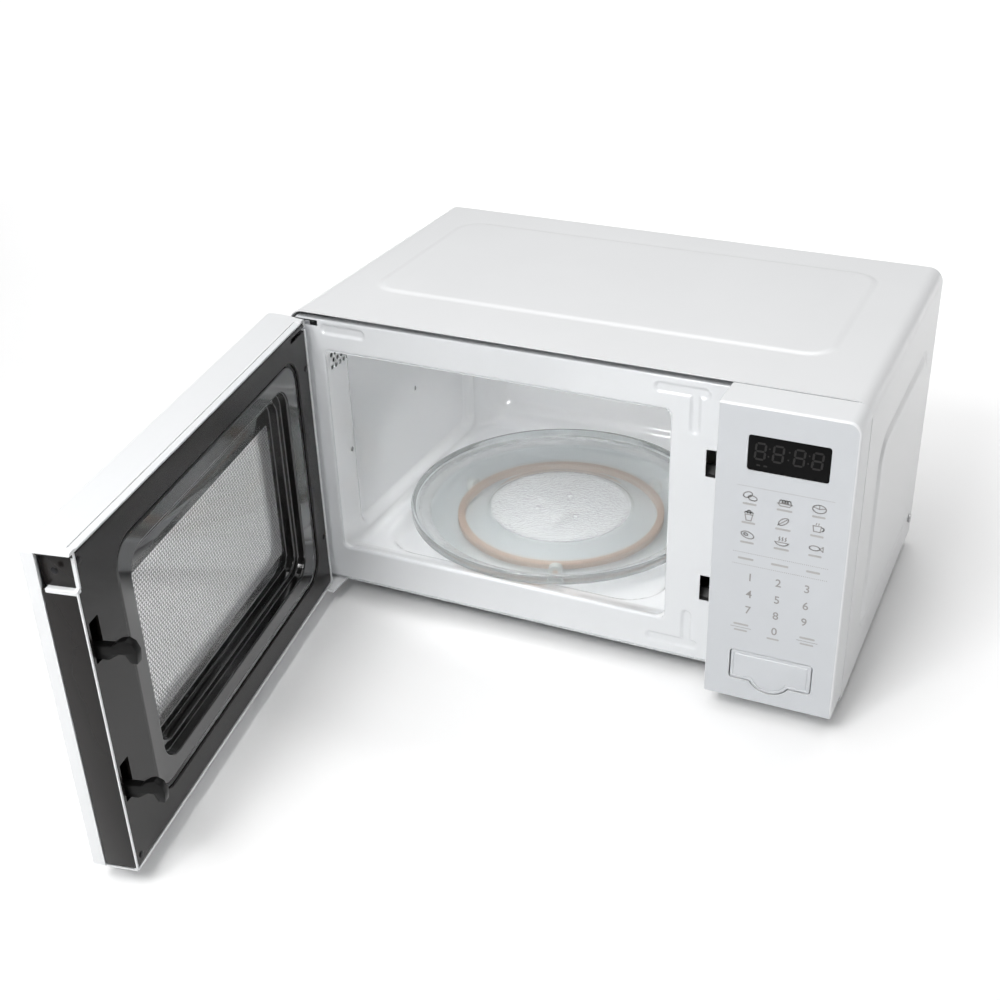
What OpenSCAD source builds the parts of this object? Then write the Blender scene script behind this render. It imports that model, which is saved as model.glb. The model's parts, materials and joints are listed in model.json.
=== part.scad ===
// Compact countertop microwave oven with a side-hinged door.
// Origin: centre of the cabinet footprint, on the plane the feet stand on.
// +Z up, the front faces -Y, the door hinges at -X.
// The door is drawn open by door_rest degrees, about the hinge pins.

/* [Cabinet] */
// Outside width of the cabinet
cab_w = 440; // [430:1:450]
// Depth of the cabinet wrapper, front edge to back edge
cab_d = 263.4; // [260:0.2:268]
// Height of the cabinet's top above the floor
cab_top = 251; // [250:0.5:253]
// Radius of the cabinet's long top edges
cab_r = 12; // [10:1:14]
// Sheet metal thickness
sheet = 0.8; // [0.6:0.1:1]
// Height of the rubber feet
foot_h = 12; // [12:0.5:12.5]

/* [Cavity] */
// Width of the cavity opening
open_w = 274.3; // [272:0.1:275]
// Height of the cavity opening
open_h = 172.9; // [171:0.1:174]
// Centre of the cavity opening, across
cav_x = -54.5; // [-55:0.1:-54]
// Depth of the cavity behind the front plate
cav_d = 267.2; // [264:0.2:268]
// Depth of the well the tray turns in
well_d = 8; // [7:0.5:8]

/* [Tray] */
// Radius of the glass tray
tray_r = 127.5; // [126:0.1:127.5]
// Tray axis, across
tray_x = -55.5; // [-57:0.1:-54]
// Tray axis, fore and aft
tray_y = 0.5; // [0:0.1:3]
// Diameter of a tray roller
roller_d = 12; // [11.9:0.05:12]

/* [Door] */
// Thickness of the door
door_t = 31.7; // [31.5:0.1:31.8]
// Angle the door stands open at rest
door_rest = 80; // [60:1:80]
// Travel of the latch hooks
latch_travel = 4.5; // [4:0.1:4.5]

/* [Panel] */
// Travel of the door release button
button_travel = 4; // [3:0.5:4]

/* [Hidden] */
$fn = 64;

hw = cab_w / 2;
hd = cab_d / 2;
zb = 11;                        // lower edge of the wrapper
plate_y = -131;                 // front face of the front plate
front_y = -164;                 // front face of the door and of the panel
door_z0 = 17;
door_z1 = 249.6;
door_x0 = -hw;
door_x1 = 124.5;
pin_x = -212.1;                 // door hinge axis
pin_y = -144.6;
pin_r = 3;
ox0 = cav_x - open_w / 2;
ox1 = cav_x + open_w / 2;
oz0 = 48.1;
oz1 = oz0 + open_h;
floor_z = 38.6;
well_z = floor_z - well_d;
bulge = 6;
back_y = plate_y + sheet + cav_d;
hook_x0 = 111.5;
hook_x1 = 117;
hook_dz = 102.7;
door_in = front_y + door_t;     // inner face of the choke cover

// ---- helpers ----
module rr(x0, y0, x1, y1, r) {
  union() {
    translate([x0 + r, y0]) square([x1 - x0 - 2 * r, y1 - y0]);
    translate([x0, y0 + r]) square([x1 - x0, y1 - y0 - 2 * r]);
    for (cx = [x0 + r, x1 - r], cy = [y0 + r, y1 - r]) translate([cx, cy]) circle(r);
  }
}
module ext_y(y0, y1) { translate([0, y1, 0]) rotate([90, 0, 0]) linear_extrude(y1 - y0) children(); }
module ext_x(x0, x1) { translate([x0, 0, 0]) rotate([90, 0, 90]) linear_extrude(x1 - x0) children(); }
module ext_z(z0, z1) { translate([0, 0, z0]) linear_extrude(z1 - z0) children(); }
module bx(x0, y0, z0, x1, y1, z1) { translate([x0, y0, z0]) cube([x1 - x0, y1 - y0, z1 - z0]); }
module cyl_y(x, z, y0, y1, r) { translate([x, y1, z]) rotate([90, 0, 0]) cylinder(h = y1 - y0, r = r); }
module cyl_x(y, z, x0, x1, r) { translate([x0, y, z]) rotate([0, 90, 0]) cylinder(h = x1 - x0, r = r); }
module cyl_z(x, y, z0, z1, r) { translate([x, y, z0]) cylinder(h = z1 - z0, r = r); }
// places a closed-door shape at the rest angle
module swing() { translate([pin_x, pin_y, 0]) rotate([0, 0, -door_rest]) translate([-pin_x, -pin_y, 0]) children(); }

// ---- cabinet ----
module section(m) {
  w = hw - m; t = cab_top - m; r = cab_r - m;
  union() {
    translate([-w, zb - (m > 0 ? 1 : 0)]) square([2 * w, t - r - zb + (m > 0 ? 1 : 0)]);
    translate([-w + r, t - r - 1]) square([2 * (w - r), r + 1]);
    for (s = [-1, 1]) translate([s * (w - r), t - r]) circle(r);
  }
}
module cabinet() {
  color("white") difference() {
    union() {
      difference() {
        ext_y(-hd, hd) section(0);
        ext_y(-hd - 1, hd + 1) section(sheet);
      }
      ext_z(cab_top - 0.4, cab_top + 1.2) rr(-182, -72, 176, 96, 20);
      for (s = [-1, 1]) {
        ext_x(s > 0 ? hw - 0.4 : -hw - 1.2, s > 0 ? hw + 1.2 : -hw + 0.4) rr(-82, 40, 98, 198, 20);
        bx(s > 0 ? hw - 12 : -hw + 0.4, -hd, zb, s > 0 ? hw - 0.4 : -hw + 12, hd, zb + sheet);
      }
    }
    ext_z(cab_top - 2, cab_top + 0.4) rr(-181.2, -71.2, 175.2, 95.2, 19.2);
    for (s = [-1, 1]) {
      ext_x(s > 0 ? hw - 2 : -hw - 0.4, s > 0 ? hw + 0.4 : -hw + 2) rr(-81.2, 40.8, 97.2, 197.2, 19.2);
      cyl_x(117, 30.5, s > 0 ? hw - 3 : -hw - 3, s > 0 ? hw + 3 : -hw + 3, 2);
    }
    // air slots low on the left side
    for (i = [0:9]) bx(-hw - 3, 20 + i * 7, 16, -hw + 3, 23 + i * 7, 34);
  }
}
module base_plate() {
  color("silver") difference() {
    union() {
      bx(-hw + 1.2, -124, 12, hw - 1.2, 130, 12.8);
      for (s = [-1, 1]) {
        bx(s > 0 ? hw - 2 : -hw + 1.2, -120, 12.4, s > 0 ? hw - 1.2 : -hw + 2, 130, 24);
        bx(s > 0 ? hw - 2 : -hw + 1.2, 106, 12.4, s > 0 ? hw - 1.2 : -hw + 2, 129, 38);
      }
    }
    // air slots under the component bay and by the left wall
    for (i = [0:5], j = [0:3]) bx(118 + j * 22, -112 + i * 7, 11, 134 + j * 22, -109 + i * 7, 14);
    for (i = [0:7]) bx(-200, -60 + i * 8, 11, -184, -57 + i * 8, 14);
    for (x = [-180, 180], y = [-95, 95]) cyl_z(x, y, 11, 14, 2.2);
    for (s = [-1, 1]) cyl_x(117, 30.5, s > 0 ? hw - 3 : -hw, s > 0 ? hw : -hw + 3, 1.75);
  }
}
module back_panel() {
  color("silver") difference() {
    union() {
      difference() {
        ext_y(hd - 1.6, hd - 0.8) intersection() { section(1.2); translate([-hw, 12.8]) square([cab_w, 300]); }
        ext_y(hd - 3, hd + 1) rr(-202.2, 24.8, 94.2, 235.2, 11);
      }
      difference() {
        ext_y(hd - 1.6, 147) rr(-203, 24, 95, 236, 12);
        ext_y(hd - 3, 146.2) rr(-202.2, 24.8, 94.2, 235.2, 11.2);
      }
    }
    // fan inlet grille
    for (i = [0:12], j = [0:2]) bx(108 + j * 34, hd - 3, 66 + i * 8, 136 + j * 34, hd + 1, 70 + i * 8);
    // outlet slots
    for (i = [0:9]) bx(-190 + i * 14, 144, 206, -182 + i * 14, 150, 226);
    cyl_y(186, 32, hd - 4, hd + 2, 9.05);
    for (x = [-211, 211], z = [44, 130, 222]) cyl_y(x, z, hd - 4, hd + 2, 1.75);
  }
}
module rear_spacers() {
  color("dimgray") for (x = [-150, 40]) difference() {
    cyl_y(x, 70, 147, 161, 9);
    cyl_y(x, 70, 155, 162, 5);
  }
}
module feet() {
  color("dimgray") for (x = [-180, 180], y = [-95, 95]) translate([x, y, 0]) difference() {
    union() {
      cylinder(h = foot_h, r = 11);
      translate([0, 0, 3]) cylinder(h = foot_h - 3, r = 13);
      translate([0, 0, foot_h - 1]) cylinder(h = 3, r = 2.15);
    }
    translate([0, 0, -1]) cylinder(h = 6, r = 4.5);
  }
}
module cabinet_screws() {
  color("silver") {
    for (x = [-211, 211], z = [44, 130, 222]) union() {
      cyl_y(x, z, hd - 0.8, hd + 1.6, 3.6);
      cyl_y(x, z, hd - 6, hd, 1.7);
    }
    for (s = [-1, 1]) union() {
      cyl_x(117, 30.5, s > 0 ? hw : -hw - 1.8, s > 0 ? hw + 1.8 : -hw, 3.8);
      cyl_x(117, 30.5, s > 0 ? hw - 5 : -hw - 0.5, s > 0 ? hw + 0.5 : -hw + 5, 1.7);
    }
  }
}

// ---- front plate ----
module marks(m) {
  rr(70.9 - m, 233.6 - m, 110.2 + m, 240.6 + m, 3.4 + m);
  rr(97 - m, 206 - m, 103.6 + m, 236 + m, 3.2 + m);
  rr(69.2 - m, 26.6 - m, 109.4 + m, 33.6 + m, 3.4 + m);
  rr(97 - m, 31 - m, 103.6 + m, 59 + m, 3.2 + m);
  rr(-193.5 - m, 234.8 - m, -157 + m, 241.8 + m, 3.4 + m);
}
module front_plate() {
  color("white") difference() {
    union() {
      ext_y(plate_y, plate_y + sheet) translate([-216, 18.3]) square([432, 228]);
      bx(-216, plate_y, 245.5, 216, -125, 246.3);
      bx(-216, -125.8, 245.5, 216, -125, 250);
      bx(-216, plate_y, 18.3, 216, -124, 19.1);
      bx(-216, -124.8, 12.8, 216, -124, 19.1);
      for (s = [-1, 1]) bx(s > 0 ? 215.2 : -216, plate_y, 18.3, s > 0 ? 216 : -215.2, -112, 246.3);
      ext_y(plate_y + 0.1, plate_y + 2.3) marks(0.8);
    }
    // the border follows the wrapper's rounded corners
    for (s = [-1, 1]) difference() {
      bx(s > 0 ? 208 : -217, -126.4, 239, s > 0 ? 217 : -208, -124, 251);
      cyl_y(s * (hw - cab_r), cab_top - cab_r, -127, -122, cab_r - sheet - 0.2);
    }
    ext_y(plate_y - 1, plate_y + 1.5) marks(0);
    ext_y(plate_y - 1, plate_y + 3) rr(ox0, oz0, ox1, oz1, 8);
    // latch slots
    for (z = [174.4, 174.4 - hook_dz]) bx(109.5, plate_y - 1, z, 119.1, plate_y + 2, z + 21.5);
    // board window and lever window behind the control panel
    bx(132, plate_y - 1, 70, 210, plate_y + 2, 238);
    bx(140, plate_y - 1, 44, 158, plate_y + 2, 62);
    // hinge arm window
    bx(-217, plate_y - 1, 240, -196, -120, 244.6);
    bx(-217, -128, 240, -182, -120, 249);
  }
}
module hinge_arm(z, t, ye, pz0, pz1) {
  union() {
    difference() {
      union() {
        cyl_z(pin_x, pin_y, z, z + t, 5.5);
        bx(pin_x - 5.5, pin_y, z, pin_x + 5.5, ye, z + t);
      }
      cyl_z(pin_x, pin_y, z - 1, z + t + 1, 2.0);
    }
    cyl_z(pin_x, pin_y, pz0, pz1, pin_r);
  }
}
module hinge_upper() {
  color("silver") union() {
    hinge_arm(241, 2, -122, 226, 243);
    bx(pin_x - 3, -130.2, 222, pin_x + 9, -128.2, 243);
  }
}
module hinge_lower() {
  color("white") union() {
    hinge_arm(14.2, 2, -124.8, 16, 28);
    bx(-212, -150, 14.2, -194, -124.8, 16.2);
  }
}

// ---- cavity ----
module cavity_plan(m) { rr(ox0 - m, -170, ox1 + m, back_y + m, 22 + m); }
module cavity_profile(m) {
  polygon([[-130.2 - (m > 0 ? 0 : 1), 47.4 - m], [-127, 47.2 - m], [-106 , floor_z - m], [back_y + m, floor_z - m],
    [back_y + m, 226 + m], [-118, 226 + m], [-123, 221 + m], [-130.2 - (m > 0 ? 0 : 1), 221 + m]]);
}
module cavity_space(m) {
  intersection() {
    ext_x(ox0 - m, ox1 + m) cavity_profile(m);
    ext_z(10, 240) cavity_plan(m);
  }
  ext_x(ox0 - bulge - m, ox1 + bulge + m) rr(-100 - m, 48 - m, 110 + m, 214 + m, 14 + m);
  ext_z(well_z - m, floor_z + 1) rr(tray_x - 123 - m, tray_y - 105 - m, tray_x + 123 + m, tray_y + 107 + m, 35 + m);
  ext_y(back_y - 1, back_y + 6 + m) rr(ox0 + 1 - m, 52 - m, ox1 - 1 + m, 206 + m, 16 + m);
}
module cavity() {
  color("whitesmoke") difference() {
    union() {
      cavity_space(sheet);
      ext_y(plate_y + sheet, plate_y + 2 * sheet) rr(ox0 - 10, 34, ox1 + 8, 230, 8);
    }
    cavity_space(0);
    ext_y(plate_y - 1, plate_y + 3) rr(ox0, oz0 - 0.7, ox1, 221, 8);
    // steam vent, left wall
    for (r = [0:3], c = [0:4]) cyl_x(-122.5 + c * 5.6 + (r % 2) * 2.8, 204.5 + r * 4.8, ox0 - 3, ox0 + 2, 1.7);
    cyl_x(13, 126.3, ox0 - bulge - 3, ox0, 2);
    cyl_x(-106, 125.6, ox0 - 3, ox0 + 2, 2);
    // lamp and air vent, right wall
    for (r = [0:5], c = [0:6]) cyl_x(-84 + c * 6 + (r % 2) * 3, 168 + r * 5.2, ox1 + bulge - 2, ox1 + bulge + 3, 1.7);
    // feed aperture
    bx(ox1 + bulge - 2, -20, 118, ox1 + bulge + 3, 60, 172);
    // motor shaft
    cyl_z(tray_x, tray_y, well_z - 3, well_z + 2, 5);
  }
}
module waveguide() {
  wx = ox1 + bulge + sheet;
  color("silver") difference() {
    union() {
      bx(wx, -26, 112, wx + 38, 66, 178);
      bx(wx, -34, 106, wx + 1, 74, 184);
    }
    bx(wx - 1, -25, 113, wx + 37, 65, 177);
    cyl_x(38, 145, wx + 30, wx + 40, 10);
  }
}
module waveguide_cover() {
  color("tan") bx(ox1 + bulge - 0.5, -30, 110, ox1 + bulge, 70, 180);
}
module magnetron() {
  mx = ox1 + bulge + sheet + 38;
  color("lightgray") {
    difference() {
      union() {
        bx(mx, -2, 106, mx + 4, 78, 184);
        for (y = [2, 72]) bx(mx + 3, y, 112, mx + 66, y + 2, 178);
        bx(mx + 64, 2, 112, mx + 66, 74, 178);
        for (i = [0:6]) bx(mx + 14 + i * 5.4, 3, 116, mx + 14.6 + i * 5.4, 73, 174);
        cyl_x(38, 145, mx + 10, mx + 65, 18);
        cyl_x(38, 145, mx + 3, mx + 11, 27);
        cyl_x(38, 145, mx + 55, mx + 65, 27);
      }
      cyl_x(38, 145, mx + 60, mx + 70, 9);
    }
    cyl_x(38, 145, mx - 26, mx, 7.5);
  }
}

// ---- component bay ----
module transformer() {
  color("dimgray") {
    difference() {
      bx(118, -58, 14, 200, 6, 84);
      for (x = [132, 168]) bx(x, -70, 28, x + 20, 20, 70);
    }
    bx(112, -52, 12.8, 206, 0, 14);
  }
  color("peru") {
    for (x = [132.5]) difference() { bx(133, -72, 29, 187, 20, 69); bx(151.5, -74, 27, 168.5, 22, 71); }
  }
}
module capacitor() {
  color("lightgray") union() {
    hull_can(128, 34);
    for (x = [119, 128]) bx(x - 2.5, 16, 30, x + 2.5, 24.4, 31);
  }
}
module hull_can(x, z) {
  ext_y(24, 116) union() {
    translate([x - 10, z - 17]) square([20, 34]);
    for (s = [-1, 1]) translate([x + s * 10, z]) circle(17);
  }
}
module diode() {
  color("black") union() { cyl_x(19, 31.6, 102, 114, 3); cyl_x(19, 31.6, 96, 122, 0.6); }
}
module fan_shroud() {
  color("gainsboro") difference() {
    union() {
      bx(98, 104, 60, 216, 106, 178);
      cyl_y(157, 119, 92, 106, 54);
    }
    cyl_y(157, 119, 80, 104, 51);
    for (a = [0:3]) rotate_about(157, 119, a * 90 + 45) bx(157 + 22, 103, 119 - 14, 157 + 48, 108, 119 + 14);
    cyl_y(157, 119, 100, 110, 6);
  }
}
module rotate_about(x, z, a) { translate([x, 0, z]) rotate([0, a, 0]) translate([-x, 0, -z]) children(); }
module fan_motor() {
  color("silver") difference() {
    union() {
      bx(132, 109, 96, 182, 121, 146);
      cyl_y(157, 119, 106, 109, 11);
      cyl_y(157, 119, 121, 128, 11);
    }
    bx(139, 107, 128, 175, 122.5, 139);
    cyl_y(157, 119, 100, 126, 2.05);
  }
  color("peru") bx(140, 108, 128.5, 174, 122, 138.5);
}
module fan_blade() {
  color("gainsboro") union() {
    difference() { cyl_y(157, 119, 84, 100, 13); cyl_y(157, 119, 82, 96, 10.5); }
    cyl_y(157, 119, 90, 125, 2);
    for (a = [0:6]) rotate_about(157, 119, a * 360 / 7)
      translate([157 + 12, 92, 119]) rotate([32, 0, 0]) translate([0, -1, -13]) cube([35, 1.6, 26]);
  }
}
module lamp_holder() {
  color("white") difference() {
    union() {
      bx(ox1 + bulge + 14, -80, 166, ox1 + bulge + 34, -46, 200);
      bx(ox1 + bulge + 30, -84, 160, ox1 + bulge + 32, -42, 206);
      bx(ox1 + bulge + sheet, -84, 160, ox1 + bulge + 32, -82.8, 206);
    }
    cyl_x(-63, 183, ox1 + bulge + 10, ox1 + bulge + 26, 10);
  }
}
module lamp_bulb() {
  color("lightyellow") translate([ox1 + bulge + 4, -63, 183]) rotate([0, 90, 0]) rotate_extrude()
    polygon([[0, 0], [3.5, 0.6], [6.5, 2.6], [8.2, 5.6], [8.6, 9], [8, 13], [8, 22], [0, 22]]);
}
module thermal_cutouts() {
  color("silver") {
    union() { cyl_x(18, 160, 193.45, 200, 8); bx(193.45, 6, 156, 194.25, 30, 164); for (y = [14, 22]) bx(199, y - 3, 159.4, 210, y + 3, 160.6); }
    union() { cyl_z(-100, 30, 226.8, 233, 8); bx(-112, 26, 226.8, -88, 34, 227.6); for (x = [-104, -96]) bx(x - 3, 29.4, 232, x + 3, 30.6, 242); }
  }
}
module filter_board() {
  color("darkgreen") bx(160, 40, 20, 214, 100, 21.6);
  color("silver") {
    for (x = [166, 208], y = [46, 94]) cyl_z(x, y, 12.8, 20, 3);
    difference() { cyl_z(178, 72, 21.6, 36, 11); cyl_z(178, 72, 24, 40, 5); }
    bx(194, 50, 21.6, 210, 76, 34);
    cyl_y(200, 28, 82, 98, 3);
  }
}
module cord_gland() {
  color("black") difference() {
    union() {
      cyl_y(186, 32, hd - 1.6, hd - 0.8, 9);
      cyl_y(186, 32, hd - 0.8, hd + 5, 11);
      cyl_y(186, 32, hd - 5, hd - 1.6, 11);
      cyl_y(186, 32, hd + 4, hd + 12, 6.5);
    }
    cyl_y(186, 32, hd - 8, hd + 14, 3.6);
  }
}

// ---- control panel ----
module panel_outline(m) {
  difference() {
    translate([126 + m, 17.2 + m]) square([94 - 2 * m, 233.6 - 2 * m]);
    translate([hw - 9, 250.8 - 9]) difference() { square(20); circle(9 - m); }
  }
}
module button_outline(m) {
  union() {
    rr(144.6 - m, 34.8 - m, 203.2 + m, 59 + m, 2 + m);
    intersection() {
      translate([173.3, 43.4]) circle(16.3 + m);
      translate([140, 20]) square([70, 20]);
    }
  }
}
module panel_bezel() {
  color("white") difference() {
    union() {
      difference() {
        union() {
          ext_y(-160, -132) panel_outline(0);
          bx(126, -134, 21, 128, plate_y, 245);
          ext_y(-162.8, -159) intersection() { panel_outline(0); translate([128.8, 17.2]) square([91.2, 240]); }
          bx(128.8, front_y, 17.2, 219.6, -162, 66);
        }
        ext_y(-160.3, -130) panel_outline(2);
      }
      // guides of the release button
      for (x = [141.5, 204.3]) bx(x, -162, 30, x + 2, -146, 61);
      bx(141.5, -162, 61, 206.3, -146, 63);
      // spring seat
      cyl_y(186, 47, -148, -146, 5.5);
      bx(180.5, -148, 17.6, 191.5, -146, 47);
      // board posts
      for (x = [140, 206], z = [76, 232]) cyl_y(x, z, -161, -146, 3);
    }
    ext_y(front_y - 1, -150) button_outline(0.5);
    bx(148, -166, 205, 201.6, -158, 230);
  }
}
module membrane() {
  color("whitesmoke") difference() {
    ext_y(front_y, -162.8) intersection() { translate([129.8, 66.2]) square([88.8, 183.4]); panel_outline(1.2); }
    ext_y(front_y - 1, -160) rr(147.2, 204.4, 202.3, 230.5, 2);
  }
}
module display_window() {
  color("black") ext_y(front_y, -162.9) rr(147.3, 204.5, 202.2, 230.4, 1.9);
}
module display_module() {
  color("dimgray") bx(149, -162, 206, 200.6, -147.6, 229);
}
module control_board() {
  color("darkgreen") bx(136, -146, 70, 210, -144.4, 238);
  color("dimgray") {
    bx(150, -144.4, 84, 170, -128, 104);
    bx(176, -144.4, 84, 196, -128, 100);
    cyl_y(190, 120, -144.4, -132, 8);
    bx(146, -144.4, 112, 172, -141, 122);
    bx(140, -144.4, 196, 176, -122, 226);
  }
}
module door_button() {
  color("white") union() {
    difference() {
      ext_y(-163.6, -157) button_outline(0);
      cyl_y(186, 47, -159, -156, 5.6);
    }
    bx(146, -158, 50, 152, -123.2, 55.5);
  }
}
function coil(r, w, pitch, turns, n = 10, m = 6) = [for (i = [0:turns * n]) let (a = i * 360 / n)
  [for (j = [0:m - 1]) let (b = j * 360 / m, q = r + w * cos(b)) [q * cos(a), q * sin(a), pitch * i / n + w * sin(b)]]];
module spring(r, w, pitch, turns) {
  n = 10; m = 6;
  rings = coil(r, w, pitch, turns, n, m);
  k = len(rings);
  pts = [for (g = rings, p = g) p];
  polyhedron(points = pts, faces = concat(
    [[for (j = [0:m - 1]) j]],
    [for (i = [0:k - 2], j = [0:m - 1]) each [[i * m + j, (i + 1) * m + j, (i + 1) * m + (j + 1) % m], [i * m + j, (i + 1) * m + (j + 1) % m, i * m + (j + 1) % m]]],
    [[for (j = [m - 1:-1:0]) (k - 1) * m + j]]));
}
module button_spring() {
  color("silver") translate([186, -148.45, 47]) rotate([90, 0, 0]) spring(4, 0.4, 2.4, 4);
}
module release_lever() {
  color("gainsboro") union() {
    cyl_x(-121, 66, 104, 156, 2.5);
    difference() {
      bx(143, -123, 53, 155, -119, 66);
      bx(142, -124, 50, 156, -118, 53.5);
    }
    ext_x(111, 117.5) polygon([[-121, 63.5], [-108.5, 63.5], [-108.5, 71.7], [-112, 71.7], [-113.5, 67], [-116, 66], [-121, 66]]);
  }
}
module interlock_holder() {
  yb = plate_y + sheet;
  color("whitesmoke") difference() {
    union() {
      bx(121.2, yb, 60, 123.2, -85, 206);
      bx(98, yb, 204, 123.2, -96, 206);
      bx(98, yb, 150, 100.5, -100, 206);
      bx(98, yb, 98, 123.2, yb + 2, 170);
      bx(121.2, yb, 60, 126, -116, 70);
      bx(104.8, yb, 60, 107.3, -117, 71.3);
      // catch ledges behind the latch slots, with a ramp for the hooks
      for (dz = [0, hook_dz]) translate([0, 0, -dz]) ext_x(106, 123.2)
        polygon([[yb, 171.6], [-117, 171.6], [-117, 178.2], [-120.2, 178.2], [-125.4, 174], [yb, 174]]);
    }
    cyl_x(-121, 66, 90, 160, 2.56);
  }
}
sw_z = [174, 121, 71.3];
module microswitches() {
  color("dimgray") for (z = sw_z) difference() {
    bx(110, -104, z, 121.2, -86, z + 18);
    cyl_y(115, z + 9, -105, -96, 1.56);
  }
}
module plunger(z) { color("red") cyl_y(115, z + 9, -107.2, -98, 1.5); }
module plunger_upper() { plunger(sw_z[0]); }
module plunger_middle() { plunger(sw_z[1]); }
module plunger_lower() { plunger(sw_z[2]); }

// ---- tray drive ----
module tray_motor() {
  color("silver") difference() {
    union() {
      cyl_z(tray_x, tray_y, 15.5, well_z - sheet, 25);
      for (s = [-1, 1]) translate([tray_x + s * 29, tray_y, well_z - sheet - 1.2]) cylinder(h = 1.2, r = 6);
      bx(tray_x - 29, tray_y - 5, well_z - sheet - 1.2, tray_x + 29, tray_y + 5, well_z - sheet);
    }
    cyl_z(tray_x, tray_y, 20, 50, 3.55);
  }
}
module motor_shaft() { color("gainsboro") cyl_z(tray_x, tray_y, 20.4, well_z + 9, 3.5); }
module tray_coupler() {
  color("white") translate([tray_x, tray_y, 0]) difference() {
    union() {
      translate([0, 0, well_z + 1.5]) cylinder(h = 9.5, r = 9);
      for (a = [0, 120, 240]) rotate([0, 0, a + 30]) translate([0, -5, well_z + 7]) {
        cube([27, 10, 3.6]);
        translate([24, 0, 0]) cube([3, 10, 4.6]);
      }
    }
    translate([0, 0, well_z]) cylinder(h = 9, r = 3.52);
  }
}
ring_z = well_z + roller_d / 2;
module roller_ring() {
  color("tan") translate([tray_x, tray_y, 0]) {
    union() {
      rotate_extrude() translate([82.5, ring_z - 2]) square([6, 4.6]);
      for (a = [-70, 50, 170]) rotate([0, 0, a]) {
        translate([86, 0, ring_z]) rotate([0, 90, 0]) cylinder(h = 12, r = 1.6);
        translate([97.4, 0, ring_z]) rotate([0, 90, 0]) cylinder(h = 1.4, r = 2.4);
      }
    }
  }
}
module roller(a) {
  color("white") translate([tray_x, tray_y, 0]) rotate([0, 0, a]) translate([90, 0, ring_z]) rotate([0, 90, 0])
    difference() {
      union() {
        cylinder(h = 6.6, r = roller_d / 2 - 0.05);
        translate([0, 0, -0.6]) cylinder(h = 0.7, r = 3.4);
      }
      translate([0, 0, -2]) cylinder(h = 12, r = 1.66);
    }
}
module roller_a() { roller(-70); }
module roller_b() { roller(50); }
module roller_c() { roller(170); }
tray_z = well_z + roller_d + 0.2;
module glass_tray() {
  color([0.8, 0.9, 0.88, 0.5]) translate([tray_x, tray_y, 0]) union() {
    rotate_extrude($fn = 96) polygon([[0, tray_z], [104, tray_z], [112, tray_z + 1], [119, tray_z + 4.2], [tray_r - 1, tray_z + 4.6], [tray_r, tray_z + 5.6],
      [tray_r, tray_z + 12.3], [tray_r - 0.7, tray_z + 12.9], [tray_r - 2.8, tray_z + 12.9], [tray_r - 6.2, tray_z + 9.2], [tray_r - 13, tray_z + 5.8], [tray_r - 21, tray_z + 4.2], [0, tray_z + 4]]);
    for (a = [90, 210, 330]) rotate([0, 0, a]) translate([20, 0, tray_z - 4]) cylinder(h = 5, r = 3);
  }
}

// ---- door (drawn closed, then swung) ----
module door_plan(m) {
  polygon([[door_x0 + m, -160], [door_x0 + 1.2 + m, -163], [door_x0 + 4 + m, front_y + m], [door_x1 - 3.5 - m, front_y + m],
    [door_x1 - 0.8 - m, -163], [door_x1 - m, -160], [door_x1 - m, door_in], [-213.6 + m, door_in], [-218.6 + m, -150]]);
}
module door_frame() {
  color("white") swing() difference() {
    union() {
      difference() {
        ext_z(door_z0, door_z1) door_plan(0);
        ext_z(door_z0 + 2, door_z1 - 2) intersection() {
          door_plan(2);
          translate([-300, -161.4]) square([600, 60]);
        }
        bx(-300, door_in - 0.6, 19.5, 300, -120, 247.1);
      }
      // hinge bosses
      intersection() {
        ext_z(door_z0, door_z1) door_plan(1);
        union() { bx(-219, -155, 225.6, -200, -137, 240.6); bx(-219, -155, 18, -200, -137, 29); }
      }
      // guides and spring seat of the latch bar
      for (z = [88, 146]) { bx(108.4, -162, z, 111.3, -144.5, z + 12); bx(117.2, -162, z, 119.8, -144.5, z + 12); }
      bx(108.4, -162, 30, 119.8, -143, 33.9);
    }
    // the free end is closed by the choke cover
    bx(120, -154, 19.2, 130, -120, 247.4);
    ext_y(-170, -155) rr(-172, 66, 63, 200, 10);
    // room for the upper hinge arm
    cyl_z(pin_x, pin_y, 240.6, 243.4, 7);
    bx(-230, -152, 240.6, -204, -120, 243.4);
    // pin bores
    cyl_z(pin_x, pin_y, 224, 242, pin_r + 0.06);
    cyl_z(pin_x, pin_y, 10, 30, pin_r + 0.06);
  }
}
module door_window() {
  color([0.9, 0.92, 0.94, 0.5]) swing() ext_y(-161.3, -158.3) rr(-180, 58, 71, 208, 8);
}
module door_plate() {
  color("black") swing() difference() {
    union() {
      // flat face round the opening, and its return into the door
      ext_y(-134.8, -134) rr(-190.3, 41, 81, 226.6, 17.5);
      ext_y(-150, -134) rr(-190.3, 41, 81, 226.6, 17.5);
      ext_y(-150, -149.2) rr(-198, 32, 104, 235, 6);
    }
    difference() {
      ext_y(-151, -134.8) rr(-189.5, 41.8, 80.2, 225.8, 16.7);
      // steps down to the window
      ext_y(-141, -134) rr(-172.8, 54.2, 66.8, 213.8, 16.8);
      ext_y(-147.6, -134) rr(-166.8, 61.2, 58.8, 205.8, 12.8);
    }
    ext_y(-140.2, -130) rr(-172, 55, 66, 213, 16);
    ext_y(-146.8, -130) rr(-166, 62, 58, 205, 12);
    ext_y(-150, -130) rr(-160, 76.6, 51, 186.8, 3);
  }
}
module mesh_screen() {
  color("gray") swing() ext_y(-148.1, -147.6) rr(-164, 72, 55, 191, 3);
}
module inner_film() {
  color([0.7, 0.75, 0.78, 0.4]) swing() ext_y(-146.8, -146.5) rr(-163.5, 70, 55.5, 192, 3);
}
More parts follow.
